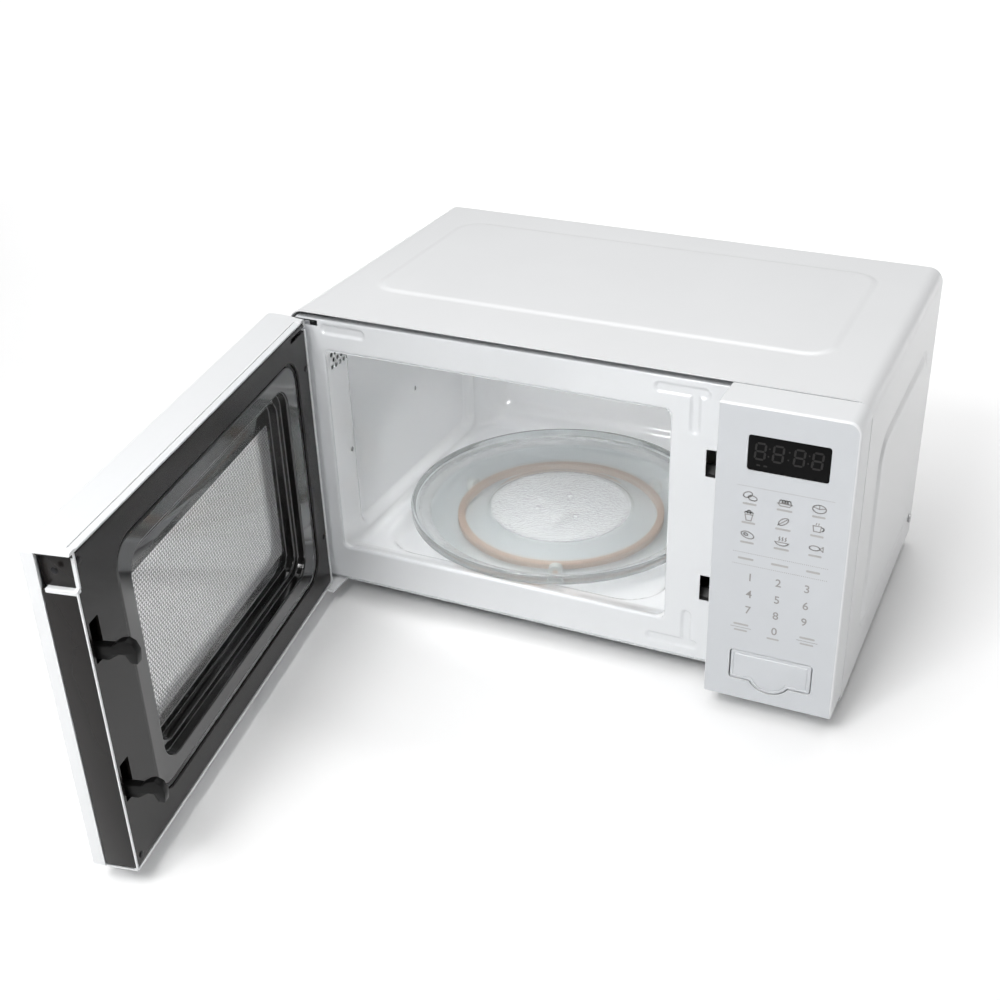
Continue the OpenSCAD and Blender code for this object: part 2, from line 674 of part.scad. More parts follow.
module choke_cover() {
  color("dimgray") swing() difference() {
    union() {
      difference() {
        bx(-211.4, door_in - 2.2, 19.6, 122.4, door_in - 0.2, 247);
        ext_y(-140, -130) rr(-191.3, 40, 82, 227.6, 18.5);
      }
      bx(122.4, -153.8, 19.6, 124.2, door_in - 0.2, 247);
      bx(120, -153.8, 19.6, 122.4, -152, 247);
    }
    for (z = [174, 174 - hook_dz]) bx(109.5, -140, z - 1, 119.5, -130, z + 28);
    bx(-230, -152, 240.2, -186, -120, 243.6);
    bx(-230, -140, 238, -204, -120, 243.6);
  }
}
module door_screws() {
  color("dimgray") swing() {
    for (p = [[-207.6, 211.4], [-207.6, 64.6], [116.5, 241], [116.5, 25]]) cyl_y(p[0], p[1], door_in - 0.2, door_in + 0.4, 2.2);
    translate([124.2, -143, 238]) rotate([0, 90, 0]) cylinder(h = 0.6, r = 2.2);
  }
}
hook_zt = 174.8;
module hook2d() {
  difference() {
    union() {
      polygon([[-150, hook_zt], [-126, hook_zt + 0.5], [-119, hook_zt + 5.2], [-115.5, hook_zt + 5.2], [-113, hook_zt], [-108.5, hook_zt],
        [-107.6, hook_zt + 8], [-109.6, hook_zt + 13.2], [-113.6, hook_zt + 15.4], [-118, hook_zt + 14.2], [-123, hook_zt + 10.4], [-134, hook_zt + 9.6], [-150, hook_zt + 9.8]]);
      translate([-110.8, hook_zt]) circle(2.2, $fn = 32);
    }
    translate([-118, hook_zt - 4]) square([20, 4]);
  }
}
module latch_bar() {
  color("black") swing() union() {
    bx(hook_x0, -151, 60, hook_x1, -144, 196);
    for (dz = [0, hook_dz]) translate([0, 0, -dz]) ext_x(hook_x0, hook_x1) hook2d();
    bx(112.5, -149.5, 56, 116, -145.5, 60);
  }
}
module latch_spring() {
  color("silver") swing() translate([114.2, -147.5, 34.5]) spring(3, 0.4, 4.1, 5);
}

cabinet();
base_plate();
back_panel();
rear_spacers();
feet();
front_plate();
hinge_upper();
hinge_lower();
cavity();
waveguide();
waveguide_cover();
magnetron();
transformer();
capacitor();
diode();
fan_shroud();
fan_motor();
fan_blade();
lamp_holder();
lamp_bulb();
thermal_cutouts();
filter_board();
cord_gland();
cabinet_screws();
panel_bezel();
membrane();
display_window();
display_module();
control_board();
door_button();
button_spring();
release_lever();
interlock_holder();
microswitches();
plunger_upper();
plunger_middle();
plunger_lower();
tray_motor();
motor_shaft();
tray_coupler();
roller_ring();
roller_a();
roller_b();
roller_c();
glass_tray();
door_frame();
door_window();
door_plate();
mesh_screen();
inner_film();
choke_cover();
door_screws();
latch_bar();
latch_spring();
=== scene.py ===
import bpy, bmesh, math, json
from mathutils import Vector, Matrix

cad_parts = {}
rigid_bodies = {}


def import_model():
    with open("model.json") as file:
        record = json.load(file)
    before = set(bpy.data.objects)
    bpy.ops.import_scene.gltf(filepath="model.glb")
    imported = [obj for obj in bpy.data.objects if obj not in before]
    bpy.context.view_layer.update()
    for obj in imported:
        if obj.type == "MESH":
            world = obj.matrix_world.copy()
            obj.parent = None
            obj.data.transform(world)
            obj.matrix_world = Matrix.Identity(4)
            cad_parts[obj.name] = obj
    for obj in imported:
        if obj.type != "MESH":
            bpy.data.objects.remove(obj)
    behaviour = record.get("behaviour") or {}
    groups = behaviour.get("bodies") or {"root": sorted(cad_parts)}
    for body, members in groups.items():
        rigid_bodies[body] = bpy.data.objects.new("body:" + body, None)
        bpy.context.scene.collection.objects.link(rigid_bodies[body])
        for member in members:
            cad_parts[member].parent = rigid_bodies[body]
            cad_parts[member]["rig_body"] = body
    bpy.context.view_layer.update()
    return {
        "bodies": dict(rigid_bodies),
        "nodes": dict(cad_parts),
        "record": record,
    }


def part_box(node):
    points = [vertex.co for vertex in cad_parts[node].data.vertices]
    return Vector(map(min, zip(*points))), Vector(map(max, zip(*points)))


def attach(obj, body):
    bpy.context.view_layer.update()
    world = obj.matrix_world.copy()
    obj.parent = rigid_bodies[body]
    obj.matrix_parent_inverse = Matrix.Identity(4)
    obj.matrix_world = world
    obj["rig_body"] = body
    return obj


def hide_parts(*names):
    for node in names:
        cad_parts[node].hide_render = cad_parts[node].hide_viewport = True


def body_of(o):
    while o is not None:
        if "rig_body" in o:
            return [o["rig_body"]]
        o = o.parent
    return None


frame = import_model()
N = frame["nodes"]
B = frame["bodies"]

# ------------------------------------------------------------------ camera
az, el, roll = math.radians(23.19), math.radians(30.55), math.radians(-0.6)
fwd = Vector((-math.sin(az) * math.cos(el), math.cos(az) * math.cos(el), -math.sin(el)))
right0 = Vector((math.cos(az), math.sin(az), 0))
up0 = right0.cross(fwd)
r = right0 * math.cos(roll) + up0 * math.sin(roll)
u = -right0 * math.sin(roll) + up0 * math.cos(roll)
cam_d = bpy.data.cameras.new("cam")
cam = bpy.data.objects.new("cam", cam_d)
bpy.context.scene.collection.objects.link(cam)
cam.matrix_world = Matrix(((r.x, u.x, -fwd.x, 0.3530), (r.y, u.y, -fwd.y, -0.9601), (r.z, u.z, -fwd.z, 0.6450), (0, 0, 0, 1)))
cam_d.sensor_width = 36
cam_d.lens = 1404.3 / 1000 * 36
cam_d.shift_x = -(558.1 - 500) / 1000
cam_d.shift_y = (522.6 - 500) / 1000
cam_d.clip_start = 0.05
cam_d.clip_end = 60
bpy.context.scene.camera = cam


# ------------------------------------------------------------------ materials
def new_mat(name):
    m = bpy.data.materials.new(name)
    m.use_nodes = True
    nt = m.node_tree
    for n in list(nt.nodes):
        nt.nodes.remove(n)
    out = nt.nodes.new("ShaderNodeOutputMaterial")
    bs = nt.nodes.new("ShaderNodeBsdfPrincipled")
    nt.links.new(bs.outputs[0], out.inputs[0])
    return m, nt, bs


def coords(nt, scale=1.0, kind="Object"):
    tc = nt.nodes.new("ShaderNodeTexCoord")
    mp = nt.nodes.new("ShaderNodeMapping")
    nt.links.new(tc.outputs[kind], mp.inputs[0])
    if not isinstance(scale, (int, float)):
        mp.inputs["Scale"].default_value = scale
    else:
        mp.inputs["Scale"].default_value = (scale, scale, scale)
    return mp.outputs[0]


def noise(nt, vec, scale, detail=3.0, rough=0.5):
    n = nt.nodes.new("ShaderNodeTexNoise")
    nt.links.new(vec, n.inputs["Vector"])
    n.inputs["Scale"].default_value = scale
    n.inputs["Detail"].default_value = detail
    n.inputs["Roughness"].default_value = rough
    return n.outputs["Fac"]


def ramp(nt, fac, stops):
    n = nt.nodes.new("ShaderNodeValToRGB")
    nt.links.new(fac, n.inputs[0])
    e = n.color_ramp.elements
    while len(e) < len(stops):
        e.new(0.5)
    for i, (p, c) in enumerate(stops):
        e[i].position = p
        e[i].color = (c[0], c[1], c[2], 1) if not isinstance(c, float) else (c, c, c, 1)
    return n.outputs[0]


def maprange(nt, fac, a, b, c, d):
    n = nt.nodes.new("ShaderNodeMapRange")
    nt.links.new(fac, n.inputs[0])
    for i, v in enumerate((a, b, c, d)):
        n.inputs[i + 1].default_value = v
    return n.outputs[0]


def bump(nt, bs, height, strength=0.1, dist=0.001, prev=None):
    n = nt.nodes.new("ShaderNodeBump")
    n.inputs["Strength"].default_value = strength
    n.inputs["Distance"].default_value = dist
    nt.links.new(height, n.inputs["Height"])
    if prev is not None:
        nt.links.new(prev, n.inputs["Normal"])
    nt.links.new(n.outputs[0], bs.inputs["Normal"])
    return n.outputs[0]


def paint(name, col, rough=0.22, peel=0.05, scale=380, coat=0.4, vary=0.015, metallic=0.0):
    m, nt, bs = new_mat(name)
    v = coords(nt)
    big = noise(nt, v, 9.0, 3.0)
    c0 = tuple(max(0, x - vary) for x in col)
    c1 = tuple(min(1, x + vary) for x in col)
    nt.links.new(ramp(nt, big, [(0.3, c0), (0.7, c1)]), bs.inputs["Base Color"])
    fine = noise(nt, v, scale, 2.0)
    nt.links.new(maprange(nt, noise(nt, v, 18, 2.0), 0.2, 0.8, rough * 0.96, rough * 1.04), bs.inputs["Roughness"])
    bump(nt, bs, fine, peel, 0.0001)
    bs.inputs["Coat Weight"].default_value = coat
    bs.inputs["Coat Roughness"].default_value = 0.08
    bs.inputs["Metallic"].default_value = metallic
    return m


def plastic(name, col, rough=0.4, grain=0.12, scale=900, vary=0.01, coat=0.0, spec=0.5):
    m, nt, bs = new_mat(name)
    v = coords(nt)
    c0 = tuple(max(0, x - vary) for x in col)
    c1 = tuple(min(1, x + vary) for x in col)
    nt.links.new(ramp(nt, noise(nt, v, 14.0, 4.0), [(0.3, c0), (0.7, c1)]), bs.inputs["Base Color"])
    nt.links.new(maprange(nt, noise(nt, v, 22, 2.0), 0.2, 0.8, rough * 0.97, min(1.0, rough * 1.03)), bs.inputs["Roughness"])
    bump(nt, bs, noise(nt, v, scale, 2.0), grain, 0.0001)
    bs.inputs["Coat Weight"].default_value = coat
    bs.inputs["Specular IOR Level"].default_value = spec
    return m


def metal(name, col, rough=0.35, brushed=(1, 1, 60), grain=0.08, spangle=False):
    m, nt, bs = new_mat(name)
    bs.inputs["Metallic"].default_value = 1.0
    v = coords(nt, brushed)
    if spangle:
        vo = nt.nodes.new("ShaderNodeTexVoronoi")
        nt.links.new(coords(nt), vo.inputs["Vector"])
        vo.inputs["Scale"].default_value = 150
        c = ramp(nt, vo.outputs["Color"], [(0.1, tuple(x * 0.92 for x in col)), (0.9, tuple(min(1, x * 1.05) for x in col))])
    else:
        c = ramp(nt, noise(nt, v, 30, 3), [(0.3, tuple(x * 0.92 for x in col)), (0.7, tuple(min(1, x * 1.05) for x in col))])
    nt.links.new(c, bs.inputs["Base Color"])
    nt.links.new(maprange(nt, noise(nt, v, 60, 4.0), 0.3, 0.7, rough * 0.8, rough * 1.3), bs.inputs["Roughness"])
    bump(nt, bs, noise(nt, v, 120, 3.0), grain, 0.0003)
    return m


M = {}
M["white_paint"] = paint("m_white_paint", (0.735, 0.742, 0.75), 0.32, 0.05, 420, 0.2, 0.008)
M["plate_paint"] = paint("m_plate_paint", (0.705, 0.72, 0.735), 0.22, 0.04, 420, 0.35, 0.008)
M["liner_paint"] = paint("m_liner_paint", (0.85, 0.86, 0.87), 0.12, 0.05, 200, 0.6, 0.006)
M["zinc"] = metal("m_zinc", (0.50, 0.51, 0.525), 0.42, (1, 1, 1), 0.05, True)
M["steel"] = metal("m_steel", (0.6, 0.6, 0.61), 0.32)
M["aluminium"] = metal("m_aluminium", (0.74, 0.74, 0.75), 0.33)
M["can"] = metal("m_can", (0.78, 0.78, 0.78), 0.28, (1, 60, 1))
M["copper"] = metal("m_copper", (0.72, 0.36, 0.17), 0.3, (60, 1, 1), 0.3)
M["rubber"] = plastic("m_rubber", (0.035, 0.035, 0.035), 0.7, 0.2, 700)
M["mica"] = plastic("m_mica", (0.56, 0.49, 0.36), 0.5, 0.2, 220, 0.06)
M["core"] = plastic("m_core", (0.12, 0.12, 0.125), 0.5, 0.3, 500)
M["black_plastic"] = plastic("m_black_plastic", (0.03, 0.03, 0.03), 0.45)
M["grey_plastic"] = plastic("m_grey_plastic", (0.36, 0.36, 0.37), 0.5)
M["white_plastic"] = plastic("m_white_plastic", (0.725, 0.735, 0.745), 0.3, 0.04, 420, 0.006, 0.0)
M["ceramic"] = plastic("m_ceramic", (0.72, 0.70, 0.66), 0.45, 0.1, 300)
M["board"] = plastic("m_board", (0.05, 0.16, 0.08), 0.4, 0.1, 240, 0.02)
M["membrane"] = plastic("m_membrane", (0.552, 0.570, 0.592), 0.34, 0.05, 700, 0.004, 0.1)
M["dark_glass"] = plastic("m_dark_glass", (0.004, 0.004, 0.0042), 0.2, 0.02, 300, 0.001, 0.0, 0.06)
M["ring_plastic"] = plastic("m_ring_plastic", (0.60, 0.43, 0.34), 0.5, 0.1, 500, 0.02)
# near-black matte for the gap round the door ring: painted shade, standing for the shadowed outer wall of the glossy
# black ring
M["gap_black"] = plastic("m_gap_black", (0.003, 0.003, 0.003), 0.8, 0.05, 300, 0.001, 0.0, 0.03)
M["dark_screw"] = metal("m_dark_screw", (0.03, 0.03, 0.032), 0.35, (1, 1, 1))
# mid grey standing for the shade in the gap under the wrapper's front edge: painted shade, not the plate's own white
# paint
M["gap_paint"] = paint("m_gap_paint", (0.36, 0.37, 0.38), 0.3, 0.04, 300, 0.2, 0.01)
M["roller_plastic"] = plastic("m_roller_plastic", (0.78, 0.78, 0.76), 0.35)
M["black_enamel"] = paint("m_black_enamel", (0.003, 0.0028, 0.0026), 0.06, 0.02, 90, 0.55, 0.001)
M["dark_plastic"] = plastic("m_dark_plastic", (0.011, 0.0095, 0.009), 0.25, 0.07, 260, 0.002, 0.0, 0.27)
M["hook_plastic"] = plastic("m_hook_plastic", (0.004, 0.004, 0.004), 0.32, 0.05, 300, 0.001, 0.0, 0.16)
M["red_plastic"] = plastic("m_red_plastic", (0.4, 0.03, 0.02), 0.4)
M["screen"] = paint("m_screen", (0.17, 0.17, 0.17), 0.3, 0.05, 400, 0.1, 0.01)


def glass(name, tint, rough=0.03, ior=1.5, alpha=None, bump_s=0.02):
    m, nt, bs = new_mat(name)
    v = coords(nt)
    nt.links.new(ramp(nt, noise(nt, v, 6, 2), [(0.3, tuple(x * 0.985 for x in tint)), (0.7, tint)]), bs.inputs["Base Color"])
    nt.links.new(maprange(nt, noise(nt, v, 25, 4.0), 0.3, 0.7, rough * 0.7, rough * 1.4), bs.inputs["Roughness"])
    bs.inputs["Transmission Weight"].default_value = 1.0
    bs.inputs["IOR"].default_value = ior
    bump(nt, bs, noise(nt, v, 60, 2), bump_s, 0.0004)
    if alpha is not None:
        bs.inputs["Alpha"].default_value = alpha
    return m


tg, tnt, tbs = new_mat("m_tray_glass")
tv_ = coords(tnt)
sep = tnt.nodes.new("ShaderNodeVectorMath")
sep.operation = "SUBTRACT"
tnt.links.new(tv_, sep.inputs[0])
sep.inputs[1].default_value = (-0.0555, 0.0005, 0.045)
flat_ = tnt.nodes.new("ShaderNodeVectorMath")
flat_.operation = "MULTIPLY"
tnt.links.new(sep.outputs[0], flat_.inputs[0])
flat_.inputs[1].default_value = (1, 1, 0)
ln = tnt.nodes.new("ShaderNodeVectorMath")
ln.operation = "LENGTH"
tnt.links.new(flat_.outputs[0], ln.inputs[0])
mask = ramp(tnt, maprange(tnt, ln.outputs["Value"], 0.0, 0.13, 0.0, 1.0), [(0.0, 1.0), (0.45, 1.0), (0.47, 0.0), (0.85, 0.0), (0.87, 0.9), (0.93, 0.9), (0.95, 0.0)])
vor = tnt.nodes.new("ShaderNodeTexVoronoi")
tnt.links.new(tv_, vor.inputs["Vector"])
vor.inputs["Scale"].default_value = 620
mul = tnt.nodes.new("ShaderNodeMath")
mul.operation = "MULTIPLY"
tnt.links.new(vor.outputs["Distance"], mul.inputs[0])
tnt.links.new(mask, mul.inputs[1])
bump(tnt, tbs, mul.outputs[0], 0.55, 0.0006)
tnt.links.new(ramp(tnt, mask, [(0.0, (0.90, 0.94, 0.94)), (1.0, (0.95, 0.965, 0.965))]), tbs.inputs["Base Color"])
tnt.links.new(maprange(tnt, mask, 0.0, 1.0, 0.015, 0.14), tbs.inputs["Roughness"])
tnt.links.new(maprange(tnt, mask, 0.0, 1.0, 0.97, 0.80), tbs.inputs["Transmission Weight"])
tbs.inputs["IOR"].default_value = 1.5
tbs.inputs["Alpha"].default_value = 0.80
M["tray_glass"] = tg
M["window_clear"] = glass("m_window_clear", (0.95, 0.96, 0.97), 0.02, 1.45, 0.16)
M["film"] = glass("m_film", (0.95, 0.96, 0.97), 0.03, 1.45, 0.14)
M["bulb"] = glass("m_bulb", (0.97, 0.95, 0.88))


def dress(o, mat):
    o.data.materials.clear()
    o.data.materials.append(mat)



slot_of = {s["node"]: s["material_slot"] for s in frame["record"]["subparts"]}
for name, o in N.items():
    mat = M[{"front_plate": "plate_paint", "interlock_holder": "black_plastic", "door_screws": "dark_screw"}.get(name, slot_of.get(name, "white_plastic"))]
    if len(o.data.materials) == 0:
        o.data.materials.append(mat)
    for i in range(len(o.data.materials)):
        o.data.materials[i] = mat


# ------------------------------------------------------------------ mesh helpers, all in millimetres
PIN = (-212.1, -144.6)
REST = 80.0
SW = (Matrix.Translation((PIN[0] / 1000, PIN[1] / 1000, 0)) @ Matrix.Rotation(math.radians(-REST), 4, "Z")
      @ Matrix.Translation((-PIN[0] / 1000, -PIN[1] / 1000, 0)))


def mk(name, verts, faces, mat, body, door=False, rep=(), slot=None, smooth=30, merge=True, flip=False):
    me = bpy.data.meshes.new(name)
    me.from_pydata([(v[0] / 1000, v[1] / 1000, v[2] / 1000) for v in verts], [], faces)
    bm = bmesh.new()
    bm.from_mesh(me)
    if merge:
        bmesh.ops.remove_doubles(bm, verts=bm.verts, dist=1e-6)
    bmesh.ops.recalc_face_normals(bm, faces=bm.faces)
    if flip:
        bmesh.ops.reverse_faces(bm, faces=bm.faces)
    bm.to_mesh(me)
    bm.free()
    if door:
        me.transform(SW)
    o = bpy.data.objects.new(name, me)
    bpy.context.scene.collection.objects.link(o)
    dress(o, mat)
    shade(o, smooth)
    place(o, body, rep, slot)
    return o


def place(o, body, rep=(), slot=None):
    if body:
        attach(o, body)
    if rep:
        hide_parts(*rep)
        slot = slot or slot_of[rep[0]]


def shade(o, smooth):
    me = o.data
    me.shade_smooth()
    if smooth is not None:
        me.set_sharp_from_angle(angle=math.radians(smooth))


def applied(o, smooth=30):
    bpy.context.view_layer.update()
    dg = bpy.context.evaluated_depsgraph_get()
    me = bpy.data.meshes.new_from_object(o.evaluated_get(dg), preserve_all_data_layers=True, depsgraph=dg)
    o.modifiers.clear()
    old = o.data
    o.data = me
    bpy.data.meshes.remove(old)
    shade(o, smooth)
    return o


def even(o):
    """Large flat faces keep their own normal, so edges between them stay crisp."""
    m = o.modifiers.new("wn", "WEIGHTED_NORMAL")
    m.keep_sharp = True
    m.weight = 100
    bpy.context.view_layer.update()
    dg = bpy.context.evaluated_depsgraph_get()
    me = bpy.data.meshes.new_from_object(o.evaluated_get(dg), preserve_all_data_layers=True, depsgraph=dg)
    o.modifiers.clear()
    old = o.data
    o.data = me
    bpy.data.meshes.remove(old)


def cutter(name, verts, faces, door=False):
    me = bpy.data.meshes.new(name)
    me.from_pydata([(v[0] / 1000, v[1] / 1000, v[2] / 1000) for v in verts], [], faces)
    bm = bmesh.new()
    bm.from_mesh(me)
    bmesh.ops.recalc_face_normals(bm, faces=bm.faces)
    bm.to_mesh(me)
    bm.free()
    if door:
        me.transform(SW)
    o = bpy.data.objects.new(name, me)
    bpy.context.scene.collection.objects.link(o)
    return o


def cut(o, cutters, smooth=30, op="DIFFERENCE"):
    for c in cutters:
        m = o.modifiers.new("b", "BOOLEAN")
        m.operation = op
        m.solver = "EXACT"
        m.object = c
    applied(o, smooth)
    even(o)
    for c in cutters:
        me = c.data
        bpy.data.objects.remove(c)
        bpy.data.meshes.remove(me)


def box_vf(x0, y0, z0, x1, y1, z1):
    v = [(x, y, z) for x in (x0, x1) for y in (y0, y1) for z in (z0, z1)]
    return v, [(0, 1, 3, 2), (4, 6, 7, 5), (0, 4, 5, 1), (2, 3, 7, 6), (0, 2, 6, 4), (1, 5, 7, 3)]


def rr_pts(x0, y0, x1, y1, r, nc=8, ns=1):
    """Rounded rectangle, anticlockwise; ns extra stations along each straight side."""
    r = max(r, 0.01)
    out = []
    cs = [(x1 - r, y0 + r, -90), (x1 - r, y1 - r, 0), (x0 + r, y1 - r, 90), (x0 + r, y0 + r, 180)]
    nss = (ns, ns, ns, ns) if isinstance(ns, int) else (ns[0], ns[1], ns[0], ns[1])
    for q, (cx, cy, a0) in enumerate(cs):
        ns = nss[q]
        for i in range(nc + 1):
            a = math.radians(a0 + 90 * i / nc)
            out.append((cx + r * math.cos(a), cy + r * math.sin(a)))
        nx = cs[(q + 1) % 4]
        a = math.radians(nx[2])
        e = (nx[0] + r * math.cos(a), nx[1] + r * math.sin(a))
        p = out[-1]
        for i in range(1, ns):
            out.append((p[0] + (e[0] - p[0]) * i / ns, p[1] + (e[1] - p[1]) * i / ns))
    return out


def loft(loops, closed=False, caps=False):
    n, m = len(loops[0]), len(loops)
    verts = [p for L in loops for p in L]
    faces = []
    for i in range(m if closed else m - 1):
        a, b = i * n, ((i + 1) % m) * n
        for j in range(n):
            k = (j + 1) % n
            faces.append((a + j, a + k, b + k, b + j))
    if caps:
        faces.append(tuple(range(n)))
        faces.append(tuple(range((m - 1) * n, m * n)))
    return verts, faces


def ring_loop(x0, z0, x1, z1, r, y, nc=8, ns=1):
    return [(p[0], y, p[1]) for p in rr_pts(x0, z0, x1, z1, r, nc, ns)]


def prism_y(loop2, y0, y1):
    return loft([[(p[0], y0, p[1]) for p in loop2], [(p[0], y1, p[1]) for p in loop2]], caps=True)


def circle_pts(cx, cy, r, n=16, a0=0.0):
    return [(cx + r * math.cos(a0 + 2 * math.pi * i / n), cy + r * math.sin(a0 + 2 * math.pi * i / n)) for i in range(n)]


def sdf_rr(x, y, b):
    x0, y0, x1, y1, r = b
    qx = abs(x - (x0 + x1) / 2) - (x1 - x0) / 2 + r
    qy = abs(y - (y0 + y1) / 2) - (y1 - y0) / 2 + r
    return math.hypot(max(qx, 0), max(qy, 0)) + min(max(qx, qy), 0) - r


def sstep(t):
    t = min(1.0, max(0.0, t))
    return t * t * (3 - 2 * t)


from mathutils.geometry import delaunay_2d_cdt


def sheet2d(outer, holes, loops, pts, keep):
    """Triangulates a flat sheet with exact outlines. Returns 2D points and faces."""
    V, E = [], []
    for L in [outer] + holes + loops:
        b = len(V)
        V += [Vector(p) for p in L]
        E += [(b + i, b + (i + 1) % len(L)) for i in range(len(L))]
    V += [Vector(p) for p in pts]
    vo, eo, fo, _, _, _ = delaunay_2d_cdt(V, E, [], 0, 1e-5)
    faces = []
    for f in fo:
        cx = sum(vo[i][0] for i in f) / len(f)
        cy = sum(vo[i][1] for i in f) / len(f)
        if keep(cx, cy):
            faces.append(tuple(f))
    return [(v[0], v[1]) for v in vo], faces


def used(verts, faces):
    ids = sorted({i for f in faces for i in f})
    m = {a: b for b, a in enumerate(ids)}
    return [verts[i] for i in ids], [tuple(m[i] for i in f) for f in faces]


def thicken(o, t, smooth=30, offset=-1):
    m = o.modifiers.new("s", "SOLIDIFY")
    m.thickness = t / 1000
    m.offset = offset
    m.use_even_offset = True
    m.use_quality_normals = True
    applied(o, smooth)


def soft_copy(node, width=0.4, seg=2, angle=30, mat=None, dissolve=True):
    """A CAD node with softened edges, standing for that node."""
    src = N[node]
    me = src.data.copy()
    o = bpy.data.objects.new(node + "_soft", me)
    bpy.context.scene.collection.objects.link(o)
    bm = bmesh.new()
    bm.from_mesh(me)
    bmesh.ops.remove_doubles(bm, verts=bm.verts, dist=2e-6)
    if dissolve:
        bmesh.ops.dissolve_limit(bm, angle_limit=math.radians(0.5), verts=bm.verts, edges=bm.edges)
    bm.to_mesh(me)
    bm.free()
    if mat:
        dress(o, mat)
    b = o.modifiers.new("bev", "BEVEL")
    b.width = width / 1000
    b.segments = seg
    b.limit_method = "ANGLE"
    b.angle_limit = math.radians(angle)
    b.use_clamp_overlap = True
    b.harden_normals = False
    applied(o, 35)
    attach(o, body_of(src)[0])
    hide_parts(node)
    return o


def double(outer, inner, faces):
    """A sheet's two skins joined round every free edge."""
    n = len(outer)
    cnt = {}
    for f in faces:
        for i in range(len(f)):
            a, b = f[i], f[(i + 1) % len(f)]
            cnt[(min(a, b), max(a, b))] = cnt.get((min(a, b), max(a, b)), 0) + 1
    out = [tuple(f) for f in faces] + [tuple(i + n for i in reversed(f)) for f in faces]
    for (a, b), c in cnt.items():
        if c == 1:
            out.append((a, b, b + n, a + n))
    return list(outer) + list(inner), out


# ------------------------------------------------------------------ cabinet wrapper with pressed panels
HW, HD, TOP, CR, ZB, T = 220.0, 131.7, 251.0, 12.0, 11.0, 0.8


def cab_point(s, off):
    """A point of the wrapper's outside at developed distance s, moved off mm outwards: (x, z)."""
    side = TOP - CR - ZB
    arc = math.pi / 2 * CR
    flat = 2 * (HW - CR)
    if s < side:
        return (-HW - off, ZB + s)
    s -= side
    if s < arc:
        a = s / CR
        return (-(HW - CR) - (CR + off) * math.cos(a), TOP - CR + (CR + off) * math.sin(a))
    s -= arc
    if s < flat:
        return (-(HW - CR) + s, TOP + off)
    s -= flat
    if s < arc:
        a = s / CR
        return ((HW - CR) + (CR + off) * math.sin(a), TOP - CR + (CR + off) * math.cos(a))
    s -= arc
    return (HW + off, TOP - CR - s)


side, arc, flat = TOP - CR - ZB, math.pi / 2 * CR, 2 * (HW - CR)
S_TOP = side + arc
LEN = 2 * side + 2 * arc + flat
TOPB = (S_TOP + (HW - CR) - 182, -72, S_TOP + (HW - CR) + 176, 96, 20)
LB = (29.0, -82, 187.0, 98, 20)
RB = (LEN - 187.0, -82, LEN - 29.0, 98, 20)
EMB = 7.0


def cab_h(s, y):
    h = 0.0
    for b, e, wd in ((TOPB, 1.15, 6.4), (LB, 1.18, 5.0), (RB, 1.18, 5.0)):
        d = sdf_rr(s, y, b)
        h += e * sstep((wd / 2 - d) / wd)
        if wd < 6 and -7.0 < d < 4.0:
            h -= 2.5 * (0.5 + 0.5 * math.cos(math.pi * (d + 1.5) / 5.5))
    return h


loops = []
for b in (TOPB, LB, RB):
    for d in (-8, -6.5, -5.4, -4.4, -3.5, -2.4, -1.2, 0, 1.2, 2.4, 3.5, 5):
        loops.append(rr_pts(b[0] - d, b[1] - d, b[2] + d, b[3] + d, b[4] + d, 12, 14))
bend = []
for s0 in (side, side + arc + flat):
    for i in range(11):
        bend.append(s0 + arc * i / 10)
pts = []
ys = [-HD + 1.5 * 0 + (2 * HD) * i / 12 for i in range(13)]
cl = []
outer_pts = []
stations = sorted(set([0.0, side * 0.25, side * 0.5, side * 0.75] + bend + [side + arc + flat * i / 10 for i in range(1, 10)] + [side + 2 * arc + flat + side * i / 4 for i in range(1, 5)]))
outer_loop = [(q, -HD) for q in stations] + [(stations[-1], y) for y in ys[1:-1]] + [(q, HD) for q in reversed(stations)] + [(stations[0], y) for y in reversed(ys[1:-1])]
for q in bend:
    for y in ys[1:-1]:
        pts.append((q, y))
slots_cab = [rr_pts(16 - ZB, 20 + i * 7, 34 - ZB, 23 + i * 7, 1.4, 4) for i in range(10)]
screw_holes = [circle_pts(30.5 - ZB, 117, 2.0, 16), circle_pts(LEN - (30.5 - ZB), 117, 2.0, 16)]


def cab_keep(s, y):
    for i in range(10):
        if sdf_rr(s, y, (16 - ZB, 20 + i * 7, 34 - ZB, 23 + i * 7, 1.4)) < 0:
            return False
    for c in ((30.5 - ZB, 117), (LEN - (30.5 - ZB), 117)):
        if math.hypot(s - c[0], y - c[1]) < 1.99:
            return False
    return True


V2, F2 = sheet2d(outer_loop, slots_cab + screw_holes, loops, pts, cab_keep)
V2, F2 = used(V2, F2)
V3, V4 = [], []
for s_, y_ in V2:
    h_ = cab_h(s_, y_)
    x_, z_ = cab_point(s_, h_)
    V3.append((x_, y_, z_))
    x_, z_ = cab_point(s_, h_ - T)
    V4.append((x_, y_, z_))
v, f = double(V3, V4, F2)
cab = mk("cabinet_skin", v, f, M["white_paint"], None, smooth=40, merge=False)
fl = []
for sx in (-1, 1):
    xa, xb = sorted((sx * (HW - 12), sx * (HW - 0.5)))
    v, f = box_vf(xa, -HD, ZB, xb, HD, ZB + T)
    fl.append(mk("cabinet_flange_%s" % ("l" if sx < 0 else "r"), v, f, M["white_paint"], "oven", slot="white_paint"))
place(cab, "oven", ("cabinet",))

